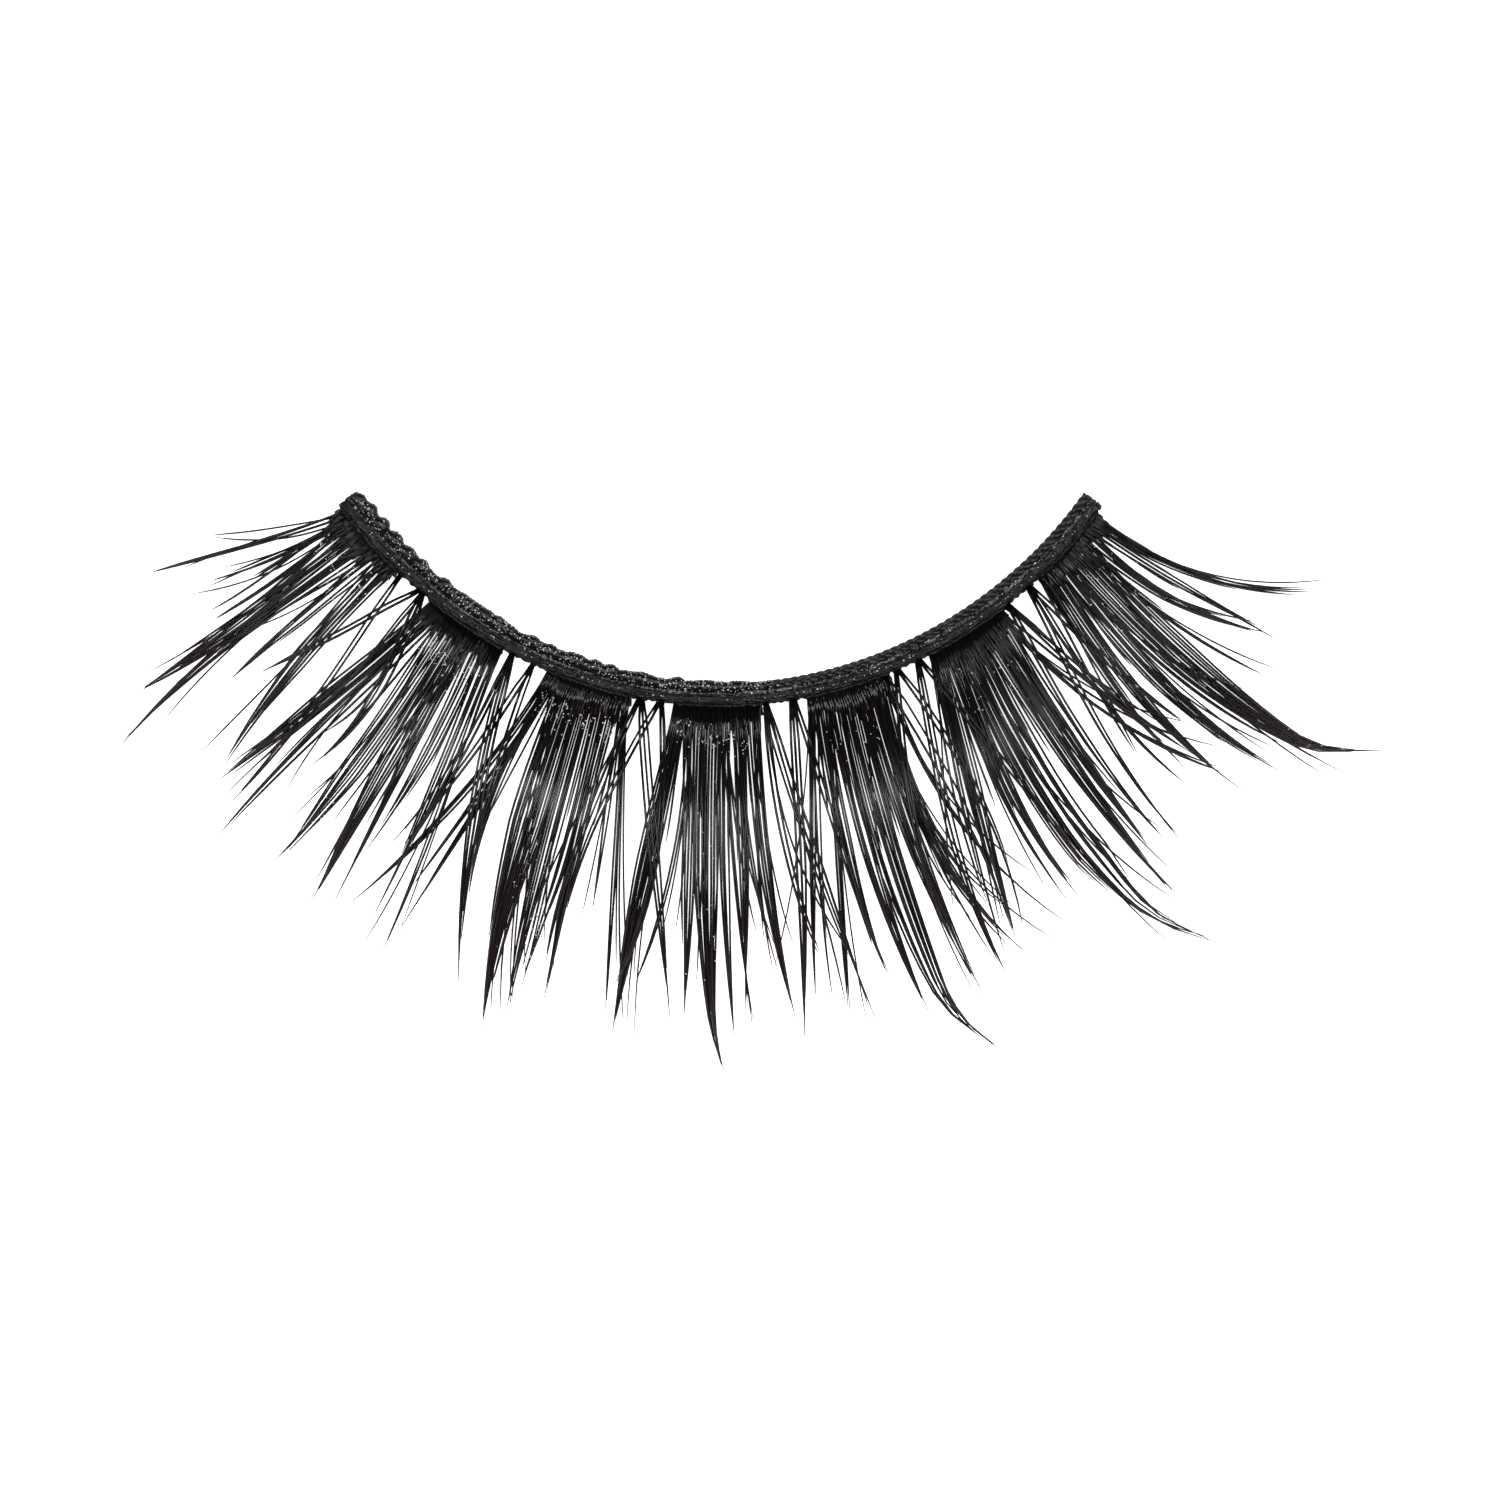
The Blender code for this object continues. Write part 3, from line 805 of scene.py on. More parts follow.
@dataclass(frozen=True)
class MatFinish:
    """The matted roots: black, duller than the fibres, with ridges that run out from the band and a
    painted highlight on them.
    """

    centre_y: float
    colour: Colour = (0.0020, 0.0018, 0.0020, 1.0)
    # The lighter colour is a painted highlight on the ridges.
    ridge_highlight: Colour = (0.0280, 0.0240, 0.0250, 1.0)

    def material(self) -> Material:
        """The material, whose pattern is laid out round the centre of the band's arc."""
        graph = Graph("root_mat")
        ridges = graph.noise(graph.polar(self.centre_y, 0.09), 1200.0, 1.0)
        clouds = graph.noise(graph.place(), 2600.0, 3.0)
        # Painted highlight along the ridges' tops.
        lit = ridges.between(0.45, 0.60)
        graph.set(
            Base_Color=graph.mix(lit, self.colour, self.ridge_highlight),
            Roughness=0.26 + 0.16 * clouds,
            Specular_IOR_Level=0.10,
        )
        graph.bump(ridges + clouds * 0.15, 0.10 * MM, 1.0)
        return graph.material


@dataclass(frozen=True)
class StripFinish:
    """The strip under the roots: smooth and dark, with streaks that follow the band and painted
    highlights along them.
    """

    centre_y: float
    colour: Colour = (0.0035, 0.0034, 0.0038, 1.0)
    # The lighter colour is a painted highlight along the streaks.
    streak_highlight: Colour = (0.0200, 0.0185, 0.0190, 1.0)

    def material(self) -> Material:
        """The material, whose pattern is laid out round the centre of the band's arc."""
        graph = Graph("root_strip")
        streaks = graph.noise(graph.polar(self.centre_y, 0.0016), 14000.0, 2.0)
        clouds = graph.noise(graph.place(), 1500.0, 4.0, 0.6)
        # Painted highlight where the streaks and the clouds are both high.
        streak_highlight = streaks.between(0.52, 0.78) * clouds.between(0.35, 0.65)
        graph.set(
            Base_Color=graph.mix(streak_highlight, self.colour, self.streak_highlight),
            Roughness=0.14 + 0.22 * clouds,
            Specular_IOR_Level=0.18,
        )
        graph.bump(streaks * 0.8 + clouds, 0.10 * MM, 1.0)
        return graph.material


@dataclass(frozen=True)
class ThreadFinish:
    """Black cotton thread, its plies twisted and a little fuzzy."""

    colour: Colour = (0.0040, 0.0036, 0.0038, 1.0)
    lit: Colour = (0.0300, 0.0270, 0.0275, 1.0)

    def material(self) -> Material:
        """The material, with fine twisted plies."""
        graph = Graph("black_thread")
        fuzz = graph.noise(graph.place(), 16000.0, 3.0, 0.6)
        clouds = graph.noise(graph.place(), 2500.0, 2.0)
        graph.set(
            Base_Color=graph.mix((fuzz * clouds).between(0.22, 0.42), self.colour, self.lit),
            Roughness=0.22 + 0.2 * fuzz,
            Specular_IOR_Level=0.3,
        )
        graph.bump(fuzz, 0.02 * MM, 0.8)
        return graph.material


@dataclass(frozen=True)
class GlueFinish:
    """Dried lash glue over black thread: dark where thin, with pale crusts, a wet gloss and a faint
    painted glow.
    """

    name: str
    dark: Colour = (0.0030, 0.0025, 0.0026, 1.0)
    pale: Colour = (0.4800, 0.4500, 0.4450, 1.0)
    pale_from: float = 0.60
    pale_to: float = 0.69
    gloss: float = 0.05
    shine: float = 0.20
    relief: float = 0.030 * MM
    # Painted light: the glue glows as if the white floor shone through it.
    glow: float = 0.12

    def material(self) -> Material:
        """The material, with its pale patches and small bubbles."""
        graph = Graph(self.name)
        crust = graph.noise(graph.place(), 9000.0, 4.0, 0.62)
        patches = graph.noise(graph.place(), 1300.0, 2.0)
        pale = (crust * 0.7 + patches * 0.3).between(self.pale_from, self.pale_to)
        colour = graph.mix(pale, self.dark, self.pale)
        graph.set(
            Base_Color=colour,
            Roughness=self.gloss + 0.12 * patches,
            Specular_IOR_Level=self.shine,
            Emission_Color=colour,
            Emission_Strength=self.glow,
        )
        graph.bump(crust, self.relief, 1.0)
        return graph.material


@dataclass
class FibreMaker:
    """Makes fibres along tufts: each its own path, length, thickness and tone.

    Most fields are shares: of a fibre's length or thickness, of its tuft's width, or of the fibres.
    """

    fringe: Fringe
    pattern: TubePattern
    # Thickness.
    radius: float = 0.047 * MM
    flatness: float = 0.9
    uneven: tuple[float, float] = (0.85, 1.12)
    root_swell: float = 0.25
    swell_out: float = 0.75 * MM
    fillet: float = 0.6
    fillet_out: float = 0.10 * MM
    slimmer: float = 0.06
    point: float = 0.20
    point_loss: float = 0.72
    # Length.
    longest: float = 1.025
    rounding: float = 0.07
    early: float = 0.12
    early_end: float = 0.8
    # Height.
    bundle_height: float = 0.08 * MM
    lift_spread: float = 0.12 * MM
    # The way across the tuft.
    shuffle: float = 0.16
    loose: float = 0.06
    settled: float = 0.5
    open_by: float = 0.4
    root_spread: float = 0.7
    hook: float = 0.2
    wobble: float = 0.012 * MM
    waves: tuple[float, float] = (0.6, 1.6)
    drift: float = 0.012
    drift_from: float = 0.45
    drifting: float = 0.25
    # Strays.
    stray_lean: float = 0.026
    stray_bend: float = 0.3
    stray_reach: tuple[float, float] = (0.72, 1.0)
    stray_thick: float = 0.8

    def _half_width(self, tuft: Tuft, along: np.ndarray) -> np.ndarray:
        """Half a tuft's width at shares of its length, from its root's span to its point."""
        root = tuft.span * self.fringe.half_angle * self.fringe.radius
        width = tuft.width * MM
        root = max(root, self.root_spread * width)
        fill = smooth(along / self.open_by)
        taper = last_part(along, 1 - tuft.full) ** tuft.blunt
        return (root * (1 - fill) + width * fill) / 2 * (1 - taper)

    def _paths(
        self, tuft: Tuft, layer: Layer, rng: np.random.Generator
    ) -> tuple[np.ndarray, np.ndarray, np.ndarray]:
        """The fibres of one tuft.

        Args:
            tuft: The tuft.
            layer: How high it lies.
            rng: Where its unevenness comes from.

        Returns:
            The fibres' points, their radii and their share of length, by fibre and ring.
        """
        count = tuft.fibres
        even = np.linspace(-1, 1, count) if count > 1 else np.zeros(1)
        rooted = np.clip(even + rng.normal(0, self.shuffle / count, count), -1, 1)[:, None]
        free = rng.uniform(-1, 1, count)[:, None]
        drawn = rooted + rng.normal(0, self.shuffle / count, count)[:, None]
        drawn = np.where(rng.uniform(0, 1, count)[:, None] < self.loose, free, drawn)
        length = self.longest - tuft.fray * rng.uniform(0, 1, count) ** 2
        length -= self.rounding * np.abs(even)
        early = rng.uniform(0, 1, count) < self.early
        length = np.where(early, length * self.early_end, length)[:, None]
        own = self.pattern.share[None]
        along = own * length
        share = tuft.share_at(along) + tuft.hook * last_part(along, self.hook) ** 2
        stray = rng.normal(0, self.drift, count)[:, None] * (along - self.drift_from).clip(0) ** 2
        stray *= rng.uniform(0, 1, count)[:, None] < self.drifting
        out = along * tuft.reach * self.fringe.longest
        across = rooted + (drawn - rooted) * smooth(along / self.settled)
        across *= self._half_width(tuft, along)
        wave = rng.uniform(*self.waves, count)[:, None] * own + rng.uniform(0, 1, count)[:, None]
        across += self.wobble * np.sin(2 * math.pi * wave) * np.sin(math.pi * own)
        aside = across / (self.fringe.radius + out) / self.fringe.half_angle
        rise = layer.value + self.bundle_height * rng.uniform(0, 1, count)[:, None]
        rise = rise + self.lift_spread * rng.normal(0, 1, count)[:, None] * own ** 2
        points = self.fringe.surface(share + stray + aside, out, np.maximum(rise, 0.0))
        swell = 1 + self.root_swell * np.exp(-((out / self.swell_out) ** 2))
        swell += self.fillet * np.exp(-out / self.fillet_out)
        swell *= (1 - self.slimmer * own) * (1 - last_part(own, self.point) ** 2 * self.point_loss)
        thick = tuft.thick * rng.uniform(*self.uneven, count)[:, None]
        return points, self.radius * thick * swell, own + 0 * along

    def _strays(
        self, tufts: Sequence[Tuft], count: int, rng: np.random.Generator
    ) -> list[Tuft]:
        """Thin single fibres that leave the tufts near their tips.

        Args:
            tufts: The tufts that they grow with.
            count: How many there are.
            rng: Where their paths come from.

        Returns:
            One tuft for each.
        """
        strays = []
        hosts = [tuft for tuft in tufts if tuft.fibres > 1]
        for _ in range(count):
            host = hosts[rng.integers(len(hosts))]
            lean = rng.normal(0, self.stray_lean)
            root = host.root + rng.uniform(-0.5, 0.5) * host.span
            reach = host.reach * rng.uniform(*self.stray_reach)
            middle, tip = host.middle + lean * self.stray_bend, host.tip + lean
            strays.append(Tuft(root, middle, tip, reach, 1, 0.0, thick=self.stray_thick))
        return strays

    @staticmethod
    def followers(
        cluster: Cluster, count: int, shortest: float, longest: float, seed: int
    ) -> tuple[Tuft, ...]:
        """Single fibres evenly along a cluster, which follow its tufts but end before them.

        Args:
            cluster: The cluster.
            count: How many there are.
            shortest: The shortest one's length as a share of its neighbours'.
            longest: The longest one's.
            seed: The seed of their lengths.

        Returns:
            One tuft for each.
        """
        rng = np.random.default_rng(seed)
        hosts = sorted((t for t in cluster.tufts if t.fibres > 2), key=lambda t: t.root)
        roots = [host.root for host in hosts]
        step = (cluster.end - cluster.start) / count
        singles = []
        for number in range(count):
            root = cluster.start + step * (number + rng.uniform(0.2, 0.8))
            middle = root + float(np.interp(root, roots, [t.middle - t.root for t in hosts]))
            tip = root + float(np.interp(root, roots, [t.tip - t.root for t in hosts]))
            reach = float(np.interp(root, roots, [t.reach for t in hosts]))
            part = float(rng.uniform(shortest, longest))
            path = Tuft(root, middle, tip, reach, 1, 0.0)
            singles.append(Tuft(
                root, path.share_at(part / 2), path.share_at(part), reach * part, 1, 0.0
            ))
        return tuple(singles)

    def make(
        self, name: str, tufts: Sequence[Tuft], layer: Layer, seed: int, strays: int
    ) -> Piece:
        """All the fibres of a bunch in one piece.

        Args:
            name: The piece's name.
            tufts: Its tufts.
            layer: How high it lies.
            seed: The seed of its unevenness.
            strays: How many thin single fibres leave it.

        Returns:
            The piece.
        """
        rng = np.random.default_rng(seed)
        bundles = [self._paths(tuft, layer, rng) for tuft in tufts]
        bundles += [self._paths(stray, layer, rng) for stray in self._strays(tufts, strays, rng)]
        points = np.concatenate([bundle[0] for bundle in bundles])
        radii = np.concatenate([bundle[1] for bundle in bundles])
        own = np.concatenate([bundle[2] for bundle in bundles])
        piece = self.pattern.make(name, points, radii, radii * self.flatness)
        tone = rng.uniform(0, 1, len(points))[:, None] + 0 * own
        add_values(piece, "along", self.pattern.spread(own))
        add_values(piece, "tone", self.pattern.spread(tone))
        return piece


@dataclass
class RootMats:
    """The matted roots of each cluster, from the strip to a ragged outer edge."""

    fringe: Fringe
    pattern: TubePattern
    depth: float = 0.50 * MM
    ragged: float = 0.16 * MM
    height: float = 0.20 * MM
    sunk: float = 0.12 * MM
    inside: float = 0.12 * MM
    shallowest: float = 0.15 * MM

    def make(self, number: int, cluster: Cluster) -> Piece:
        """One cluster's mat: a flat tube along the strip whose outer edge is ragged.

        Args:
            number: The cluster's number.
            cluster: The cluster.

        Returns:
            The piece.
        """
        share = self.pattern.share
        fine = Waves(40 + number, 9, 26).at(share, np.zeros_like(share))
        ends = round_ends(share, 12, 0.02)
        depth = np.maximum(self.depth + self.ragged * fine, self.shallowest) * ends
        place = cluster.start + (cluster.end - cluster.start) * share
        out = (depth - self.inside) / 2
        path = self.fringe.surface(place, out, np.zeros_like(share))[None]
        path[..., 2] -= self.sunk
        half_height = (self.height / 2 * ends)[None]
        return self.pattern.make(f"root_mat_{number}", path, (depth - out)[None], half_height)


@dataclass
class Thread:
    """The braided thread along the eyelid side of the strip, the strip and the glue on both."""

    fringe: Fringe
    strand: float = 0.112 * MM
    sway: float = 0.098 * MM
    weave: float = 0.065 * MM
    turns: float = 33.0
    strands: int = 3
    clear: float = 0.02 * MM
    glue_to: float = 0.14
    glue_fade: float = 0.22
    skin: tuple[float, float] = (0.012 * MM, 0.010 * MM)
    tuck: float = 0.05 * MM
    glue_flatness: float = 0.8
    seam: float = 0.095 * MM
    seam_height: float = 0.72
    seam_uneven: float = 0.22
    fillet: float = 0.050 * MM
    fillet_on_roots: float = 0.045 * MM
    fillet_uneven: float = 0.014 * MM
    fillet_edge: float = 0.012
    fillet_height: float = 0.58
    fillet_lift: float = 0.08
    fillet_inside: float = 0.03 * MM
    thinnest: float = 0.03 * MM
    flatness: float = 0.9

    @property
    def height(self) -> float:
        """The thread's thickness, from its middle stretch that has no glue."""
        return 2 * (self.strand + self.weave)

    @property
    def middle_radius(self) -> float:
        """How far the thread's middle line is from the arc's centre."""
        inside = self.fringe.strip_width + self.sway + self.strand + self.clear
        return self.fringe.radius - inside

    def _whole_band(self, sides: int, cuts: int) -> tuple[TubePattern, np.ndarray]:
        """A tube for the whole band, and the angle shares of its rings."""
        pattern = TubePattern(sides, 20, cuts)
        return pattern, (2 * pattern.share - 1) * self.fringe.band_end

    def make_braid(self) -> Piece:
        """Three strands that pass over and under each other along the band.

        Returns:
            The piece.
        """
        pattern, place = self._whole_band(6, 24)
        paths = []
        for number in range(self.strands):
            turn = 2 * math.pi * (self.turns * pattern.share + number / self.strands)
            radius = self.middle_radius + self.sway * np.sin(turn)
            height = self.height / 2 + self.weave * np.sin(2 * turn) + self.clear
            paths.append(self.fringe.arc(place, radius, height))
        paths = np.array(paths)
        thick = np.full(paths.shape[:2], self.strand)
        return pattern.make("braided_thread", paths, thick, thick)

    def crust(self, share: np.ndarray) -> np.ndarray:
        """How far the lumps of glue stand out at angle shares."""
        total = np.zeros_like(share)
        for lump in CRUST:
            total += lump.height * MM * np.exp(-(((share - lump.place) / lump.spread) ** 2))
        return total

    def make_glue(self) -> Piece:
        """The crust of dried glue: a lumpy sheath over the inner half of the thread.

        Returns:
            The piece.
        """
        pattern = TubePattern(12, 20, 18)
        place = -self.fringe.band_end + (self.glue_to + self.fringe.band_end) * pattern.share
        lumps = self.crust(place)
        thin = smooth((place - self.glue_to + self.glue_fade) / self.glue_fade)
        coarse = Waves(71, 20, 60).at(pattern.share[:, None], pattern.turn)
        fine = Waves(72, 90, 200).at(pattern.share[:, None], pattern.turn)
        skin = self.skin[0] * coarse + self.skin[1] * fine
        wall = lumps[:, None] / 2 + skin - self.tuck * thin[:, None]
        half_width = self.sway + self.strand + self.clear / 2 + wall
        half_height = self.height / 2 + self.clear + wall * self.glue_flatness
        ends = round_ends(pattern.share, 40, 0.03)[:, None]
        height = self.height / 2 + 1.5 * self.clear + lumps / 4
        middle = self.fringe.arc(place, self.middle_radius - lumps / 2, height)
        return pattern.make(
            "dried_glue", middle[None], (half_width * ends)[None], (half_height * ends)[None]
        )

    def make_strip(self) -> Piece:
        """The flat strip that the roots are set in, with rounded edges.

        Returns:
            The piece.
        """
        pattern, place = self._whole_band(12, 12)
        swell = Waves(84, 10, 60).at(pattern.share[:, None], pattern.turn)
        squared = (np.cos(pattern.turn) ** 4 + np.sin(pattern.turn) ** 4) ** -0.25
        half_width = squared * (self.fringe.strip_width / 2 + 0.006 * MM * swell)
        half_height = squared * (self.fringe.strip_height / 2 + 0.004 * MM * swell)
        radius = self.fringe.radius - self.fringe.strip_width / 2
        path = self.fringe.arc(place, radius, self.fringe.strip_height / 2)
        return pattern.make("flat_strip", path[None], half_width[None], half_height[None])

    def make_seam(self) -> Piece:
        """The bead of glue in the groove between the thread and the strip.

        Returns:
            The piece.
        """
        pattern, place = self._whole_band(6, 24)
        swell = Waves(81, 30, 120).at(pattern.share, np.zeros_like(place))
        sway = Waves(82, 10, 50).at(pattern.share, np.zeros_like(place))
        radius = self.fringe.radius - self.fringe.strip_width + 0.015 * MM * sway
        height = self.fringe.strip_height * self.seam_height + 0.010 * MM * swell
        path = self.fringe.arc(place, radius, height)[None]
        thick = (self.seam * (1 + self.seam_uneven * swell)).clip(self.thinnest)[None]
        return pattern.make("seam_glue", path, thick, thick * self.flatness)

    def make_root_glue(self) -> Piece:
        """The uneven fillet of glue over the strip's outer edge, where the fibres start.

        Returns:
            The piece.
        """
        pattern, place = self._whole_band(7, 24)
        swell = Waves(83, 40, 150).at(pattern.share, np.zeros_like(place))
        inside = np.zeros_like(place)
        for cluster in CLUSTERS:
            edge = np.minimum(place - cluster.start, cluster.end - place)
            inside = np.maximum(inside, smooth(1 + edge / self.fillet_edge))
        thick = self.fillet + self.fillet_on_roots * inside + self.fillet_uneven * swell
        thick = thick.clip(self.thinnest)
        height = self.fringe.strip_height * (self.fillet_height + self.fillet_lift * inside)
        radius = self.fringe.radius + thick * 0.45 - self.fillet_inside
        path = self.fringe.arc(place, radius, height)[None]
        return pattern.make("root_glue", path, thick[None], thick[None] * self.flatness)


@dataclass(frozen=True)
class BeadSize:
    """One kind of bead: its usual radius, and its smallest and largest as shares of that."""

    radius: float
    smallest: float
    largest: float

    def draw(self, rng: np.random.Generator, count: int) -> np.ndarray:
        """The radii of a number of beads."""
        return self.radius * rng.uniform(self.smallest, self.largest, count)


@dataclass
class Trimmings:
    """The small beads: knots of the crossing fibres, specks of glue and painted glints, and the two
    ends.
    """

    fringe: Fringe
    bead: BeadPattern = field(default_factory=BeadPattern)
    knot: BeadSize = BeadSize(0.045 * MM, 0.7, 1.2)
    knot_beads: int = 4
    knot_spread: float = 0.0035
    speck: BeadSize = BeadSize(0.021 * MM, 0.6, 1.35)
    fleck: BeadSize = BeadSize(0.021 * MM, 0.5, 1.2)
    crust_flecks: int = 520
    strip_flecks: int = 350
    on_seam: float = 0.75
    seam_in: float = 0.42 * MM
    seam_spread: float = 0.06 * MM
    strip_middle: float = 0.20 * MM
    seam_top: float = 0.30 * MM
    end: BeadSize = BeadSize(0.085 * MM, 0.75, 1.1)

    def make_knots(self) -> Piece:
        """A few small beads at the root of each crossing strand.

        Returns:
            The piece.
        """
        rng = np.random.default_rng(91)
        roots = sorted({round(tuft.root, 3) for gap in CROSSINGS for tuft in gap})
        share = np.repeat(roots, self.knot_beads)
        share = share + rng.normal(0, self.knot_spread, len(share))
        out = rng.uniform(-0.02, 0.08, len(share)) * MM
        places = self.fringe.surface(share, out, np.zeros_like(out))
        return self.bead.make("knots", places, self.knot.draw(rng, len(places)), rng)

    @staticmethod
    def _layer_at(share: float) -> float:
        """How high the cluster at an angle share lies."""
        return min(CLUSTERS, key=lambda bunch: abs(bunch.start + bunch.end - 2 * share)).layer.value

    def make_specks(self) -> Piece:
        """Pale specks on the fibres, thickest just out from the root mats: partly glue and partly
        painted glints.

        Returns:
            The piece.
        """
        rng = np.random.default_rng(92)
        places = []
        for patch in SPECKLES:
            share = patch.share + rng.uniform(-1, 1, patch.count) * patch.share_spread
            reach = patch.reach + rng.normal(0, 1, patch.count) * patch.reach_spread
            rise = self._layer_at(patch.share) + rng.uniform(0.10, 0.26, patch.count) * MM
            out = np.maximum(reach, 0.03) * self.fringe.longest
            places.append(self.fringe.surface(share, out, rise))
        places = np.concatenate(places)
        return self.bead.make("glue_and_glint_specks", places, self.speck.draw(rng, len(places)), rng)

    def make_band_specks(self, thread: Thread) -> Piece:
        """Pale flecks on the thread and the strip, thickest on the crusted half: partly glue and
        partly painted glints.

        Args:
            thread: The thread and its crust.

        Returns:
            The piece.
        """
        rng = np.random.default_rng(94)
        share = rng.uniform(-1, thread.glue_to, self.crust_flecks)
        lumps = thread.crust(share)
        aside = rng.uniform(-0.9, 0.8, len(share))
        width = thread.sway + thread.strand + lumps / 2
        radius = thread.middle_radius - lumps / 2 + aside * width
        top = thread.height / 2 + 0.4 * lumps + 0.02 * MM
        height = thread.height / 2 + lumps / 4 + 0.04 * MM + top * np.sqrt(1 - aside ** 2)
        crusted = self.fringe.arc(share, radius, height)
        count = self.strip_flecks
        share = rng.uniform(-1, 1, count)
        on_seam = rng.uniform(0, 1, count) < self.on_seam
        seam_in = rng.normal(self.seam_in, self.seam_spread, count)
        across = np.where(on_seam, seam_in, self.strip_middle)
        height = np.where(across > 0.3 * MM, self.seam_top, self.fringe.strip_height)
        seam = self.fringe.arc(share, self.fringe.radius - across, height)
        places = np.concatenate((crusted, seam))
        return self.bead.make("band_specks", places, self.fleck.draw(rng, len(places)), rng)

    def make_ends(self) -> Piece:
        """Glue on the cut ends of the band.

        Returns:
            The piece.
        """
        rng = np.random.default_rng(93)
        across, height = np.meshgrid(np.linspace(0.04, 0.74, 9) * MM, (0.12 * MM, 0.26 * MM))
        places = []
        for end in (-1.0, 1.0):
            share = end * (self.fringe.band_end - 0.001) + rng.normal(0, 0.0015, across.size)
            radius = self.fringe.radius - across.ravel()
            places.append(self.fringe.arc(share, radius, height.ravel()))
        places = np.concatenate(places)
        return self.bead.make("end_glue", places, self.end.draw(rng, len(places)), rng)


@dataclass
class Studio:
    """A pale floor, soft lights and a camera above the strip."""

    floor_height: float
    look_at: tuple[float, float, float] = (1.16 * MM, -1.95 * MM, 0.4 * MM)
    frame_width: float = 56.1 * MM
    distance: float = 300 * MM
    elevation: float = math.radians(87)
    sensor: float = 36.0
    floor_size: float = 4.0
    flat_radius: float = 1.2
    rim_height: float = 0.35

    def make_floor(self) -> Piece:
        """The floor, a sheet whose edges sweep up far away, all round.

        Returns:
            The floor.
        """
        deselect_all()
        place = (0, 0, self.floor_height)
        bpy.ops.mesh.primitive_grid_add(
            x_subdivisions=48, y_subdivisions=48, size=self.floor_size, location=place
        )
        floor = bpy.context.object
        floor.name = "floor"
        for vertex in floor.data.vertices:
            away = (vertex.co.xy.length - self.flat_radius) / self.flat_radius
            vertex.co.z = self.rim_height * max(away, 0.0) ** 2
        floor.data.shade_smooth()
        graph = Graph("pale_floor")
        graph.set(
            Base_Color=(0.90, 0.90, 0.90, 1.0), Roughness=0.9, Specular_IOR_Level=0.1,
            Emission_Color=(1.0, 1.0, 1.0, 1.0), Emission_Strength=0.86,
        )
        floor.data.materials.append(graph.material)
        floor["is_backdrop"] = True
        return floor

    def add_light(
        self, name: str, place: tuple[float, float, float], size: tuple[float, float],
        power: float,
    ) -> None:
        """A softbox that faces the eyelashes.

        Args:
            name: Its name.
            place: Where it is.
            size: How wide and how long it is.
            power: Its power in watts.
        """
        data = bpy.data.lights.new(name, "AREA")
        data.shape = "RECTANGLE"
        data.size, data.size_y = size
        data.energy = power
        light = bpy.data.objects.new(name, data)
        light.location = place
        aim = Vector(self.look_at) - Vector(place)
        light.rotation_euler = aim.to_track_quat("-Z", "Y").to_euler()
        bpy.context.scene.collection.objects.link(light)

    def add_camera(self) -> None:
        """The camera: straight on from the fringe's side, nearly overhead, with a long lens."""
        data = bpy.data.cameras.new("camera")
        data.sensor_width = self.sensor
        data.lens = self.sensor * self.distance / self.frame_width
        data.clip_start = 1 * MM
        data.clip_end = 20.0
        camera = bpy.data.objects.new("camera", data)
        away = Vector((0, -math.cos(self.elevation), math.sin(self.elevation)))
        camera.location = Vector(self.look_at) + away * self.distance
        camera.rotation_euler = (math.pi / 2 - self.elevation, 0, 0)
        bpy.context.scene.collection.objects.link(camera)
        bpy.context.scene.camera = camera

    def set_up(self) -> None:
        """Floor, world, lights, camera and plain view settings."""
        self.make_floor()
        world = bpy.data.worlds.new("studio")
        world.use_nodes = True
        sky = world.node_tree.nodes["Background"]
        sky.inputs["Color"].default_value = (1.0, 1.0, 1.0, 1.0)
        sky.inputs["Strength"].default_value = 0.13
        bpy.context.scene.world = world
        self.add_light("left_softbox", (-0.15, 0.05, 0.36), (0.05, 0.70), 1.7)
        self.add_light("right_softbox", (0.17, 0.05, 0.34), (0.05, 0.70), 1.3)
        self.add_camera()
        bpy.context.scene.view_settings.view_transform = "Standard"


def dress(piece: Piece, finish: Material, slot: str, *nodes: str) -> None:
    """Gives a piece its finish, fastens it to the part and hides the CAD nodes that it replaces.

    Args:
        piece: The piece.
        finish: Its material.
        slot: The part's material slot that it belongs to; not used.
        nodes: The CAD nodes that it replaces.
    """
    piece.data.materials.append(finish)
    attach(piece, BODY)
    if nodes:
        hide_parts(*nodes)
    LOG.info("%s: %d faces", piece.name, len(piece.data.polygons))


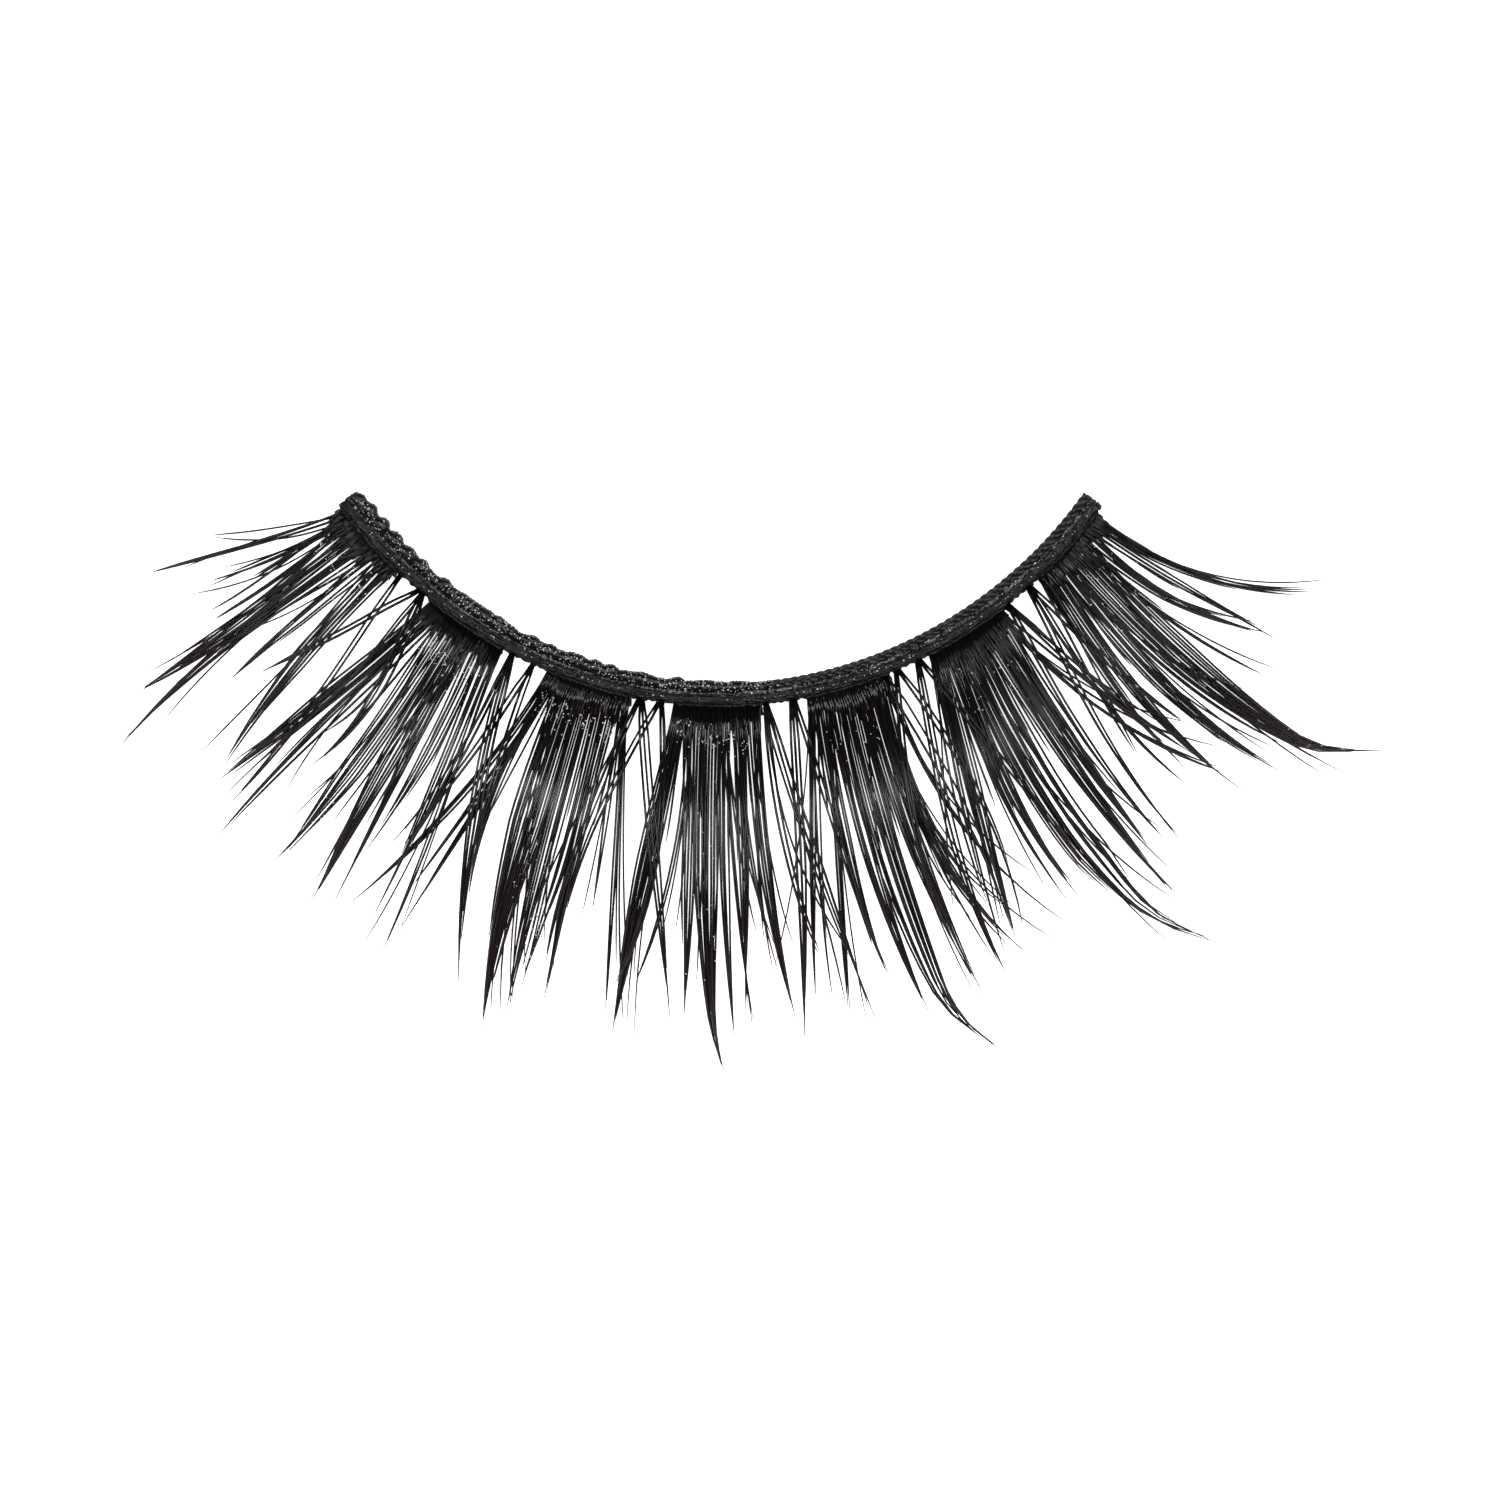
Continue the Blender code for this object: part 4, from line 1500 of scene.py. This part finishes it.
def main() -> None:
    """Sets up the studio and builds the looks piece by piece."""
    logging.basicConfig(level=logging.INFO, format="%(message)s")
    cad_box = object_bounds()
    studio = Studio(floor_height=cad_box[0][2])
    studio.set_up()
    fringe = Fringe()
    fibre = FibreFinish().material()
    mat = MatFinish(fringe.centre_y).material()
    maker = FibreMaker(fringe, TubePattern(5, 13))
    tier = FibreMaker(
        fringe, TubePattern(5, 13), radius=0.052 * MM, root_swell=0.0, fillet=0.35, open_by=0.10,
        root_spread=0.0,
    )
    mats = RootMats(fringe, TubePattern(8, 79))
    for number, cluster in enumerate(CLUSTERS, 1):
        slot = f"cluster_{number}"
        short = maker.followers(cluster, cluster.fill, *SHORT_LENGTHS, seed=60 + number)
        stubs = maker.followers(cluster, STUBS, *STUB_LENGTHS, seed=70 + number)
        tufts = cluster.tufts + short + stubs
        fibres = maker.make(f"fibres_{number}", tufts, cluster.layer, number, STRAYS)
        dress(fibres, fibre, slot, slot)
        dress(mats.make(number, cluster), mat, slot)
    for number, tufts in enumerate(CROSSINGS, 1):
        slot = f"crossing_{number}"
        strands = tier.make(f"strands_{number}", tufts, Layer.TOP, 20 + number, TIER_STRAYS)
        dress(strands, fibre, slot, slot)
    thread = Thread(fringe)
    dress(thread.make_braid(), ThreadFinish().material(), "thread_band", "thread_band")
    dress(thread.make_glue(), GlueFinish("dried_glue").material(), "thread_band")
    seam = GlueFinish("seam_glue", pale=(0.12, 0.115, 0.118, 1.0), pale_from=0.45, pale_to=0.62)
    dress(thread.make_seam(), seam.material(), "thread_band")
    fillet = GlueFinish("root_glue", pale=(0.06, 0.056, 0.058, 1.0), pale_from=0.58, shine=0.12)
    dress(thread.make_root_glue(), fillet.material(), "root_strip")
    trimmings = Trimmings(fringe)
    dress(trimmings.make_knots(), mat, "crossing_1")
    # The specks' finish is pale and glows: painted glints on specks of glue.
    speck = GlueFinish(
        "glue_and_glint_specks", dark=(0.30, 0.29, 0.29, 1.0), pale=(0.9, 0.89, 0.89, 1.0), glow=0.6
    ).material()
    dress(trimmings.make_specks(), speck, "thread_band")
    dress(trimmings.make_band_specks(thread), speck, "thread_band")
    end = GlueFinish("end_glue", dark=(0.020, 0.014, 0.013, 1.0), pale=(0.20, 0.16, 0.155, 1.0))
    dress(trimmings.make_ends(), end.material(), "thread_band")
    strip = StripFinish(fringe.centre_y).material()
    dress(thread.make_strip(), strip, "root_strip", "root_strip")


if __name__ == "__main__":
    main()
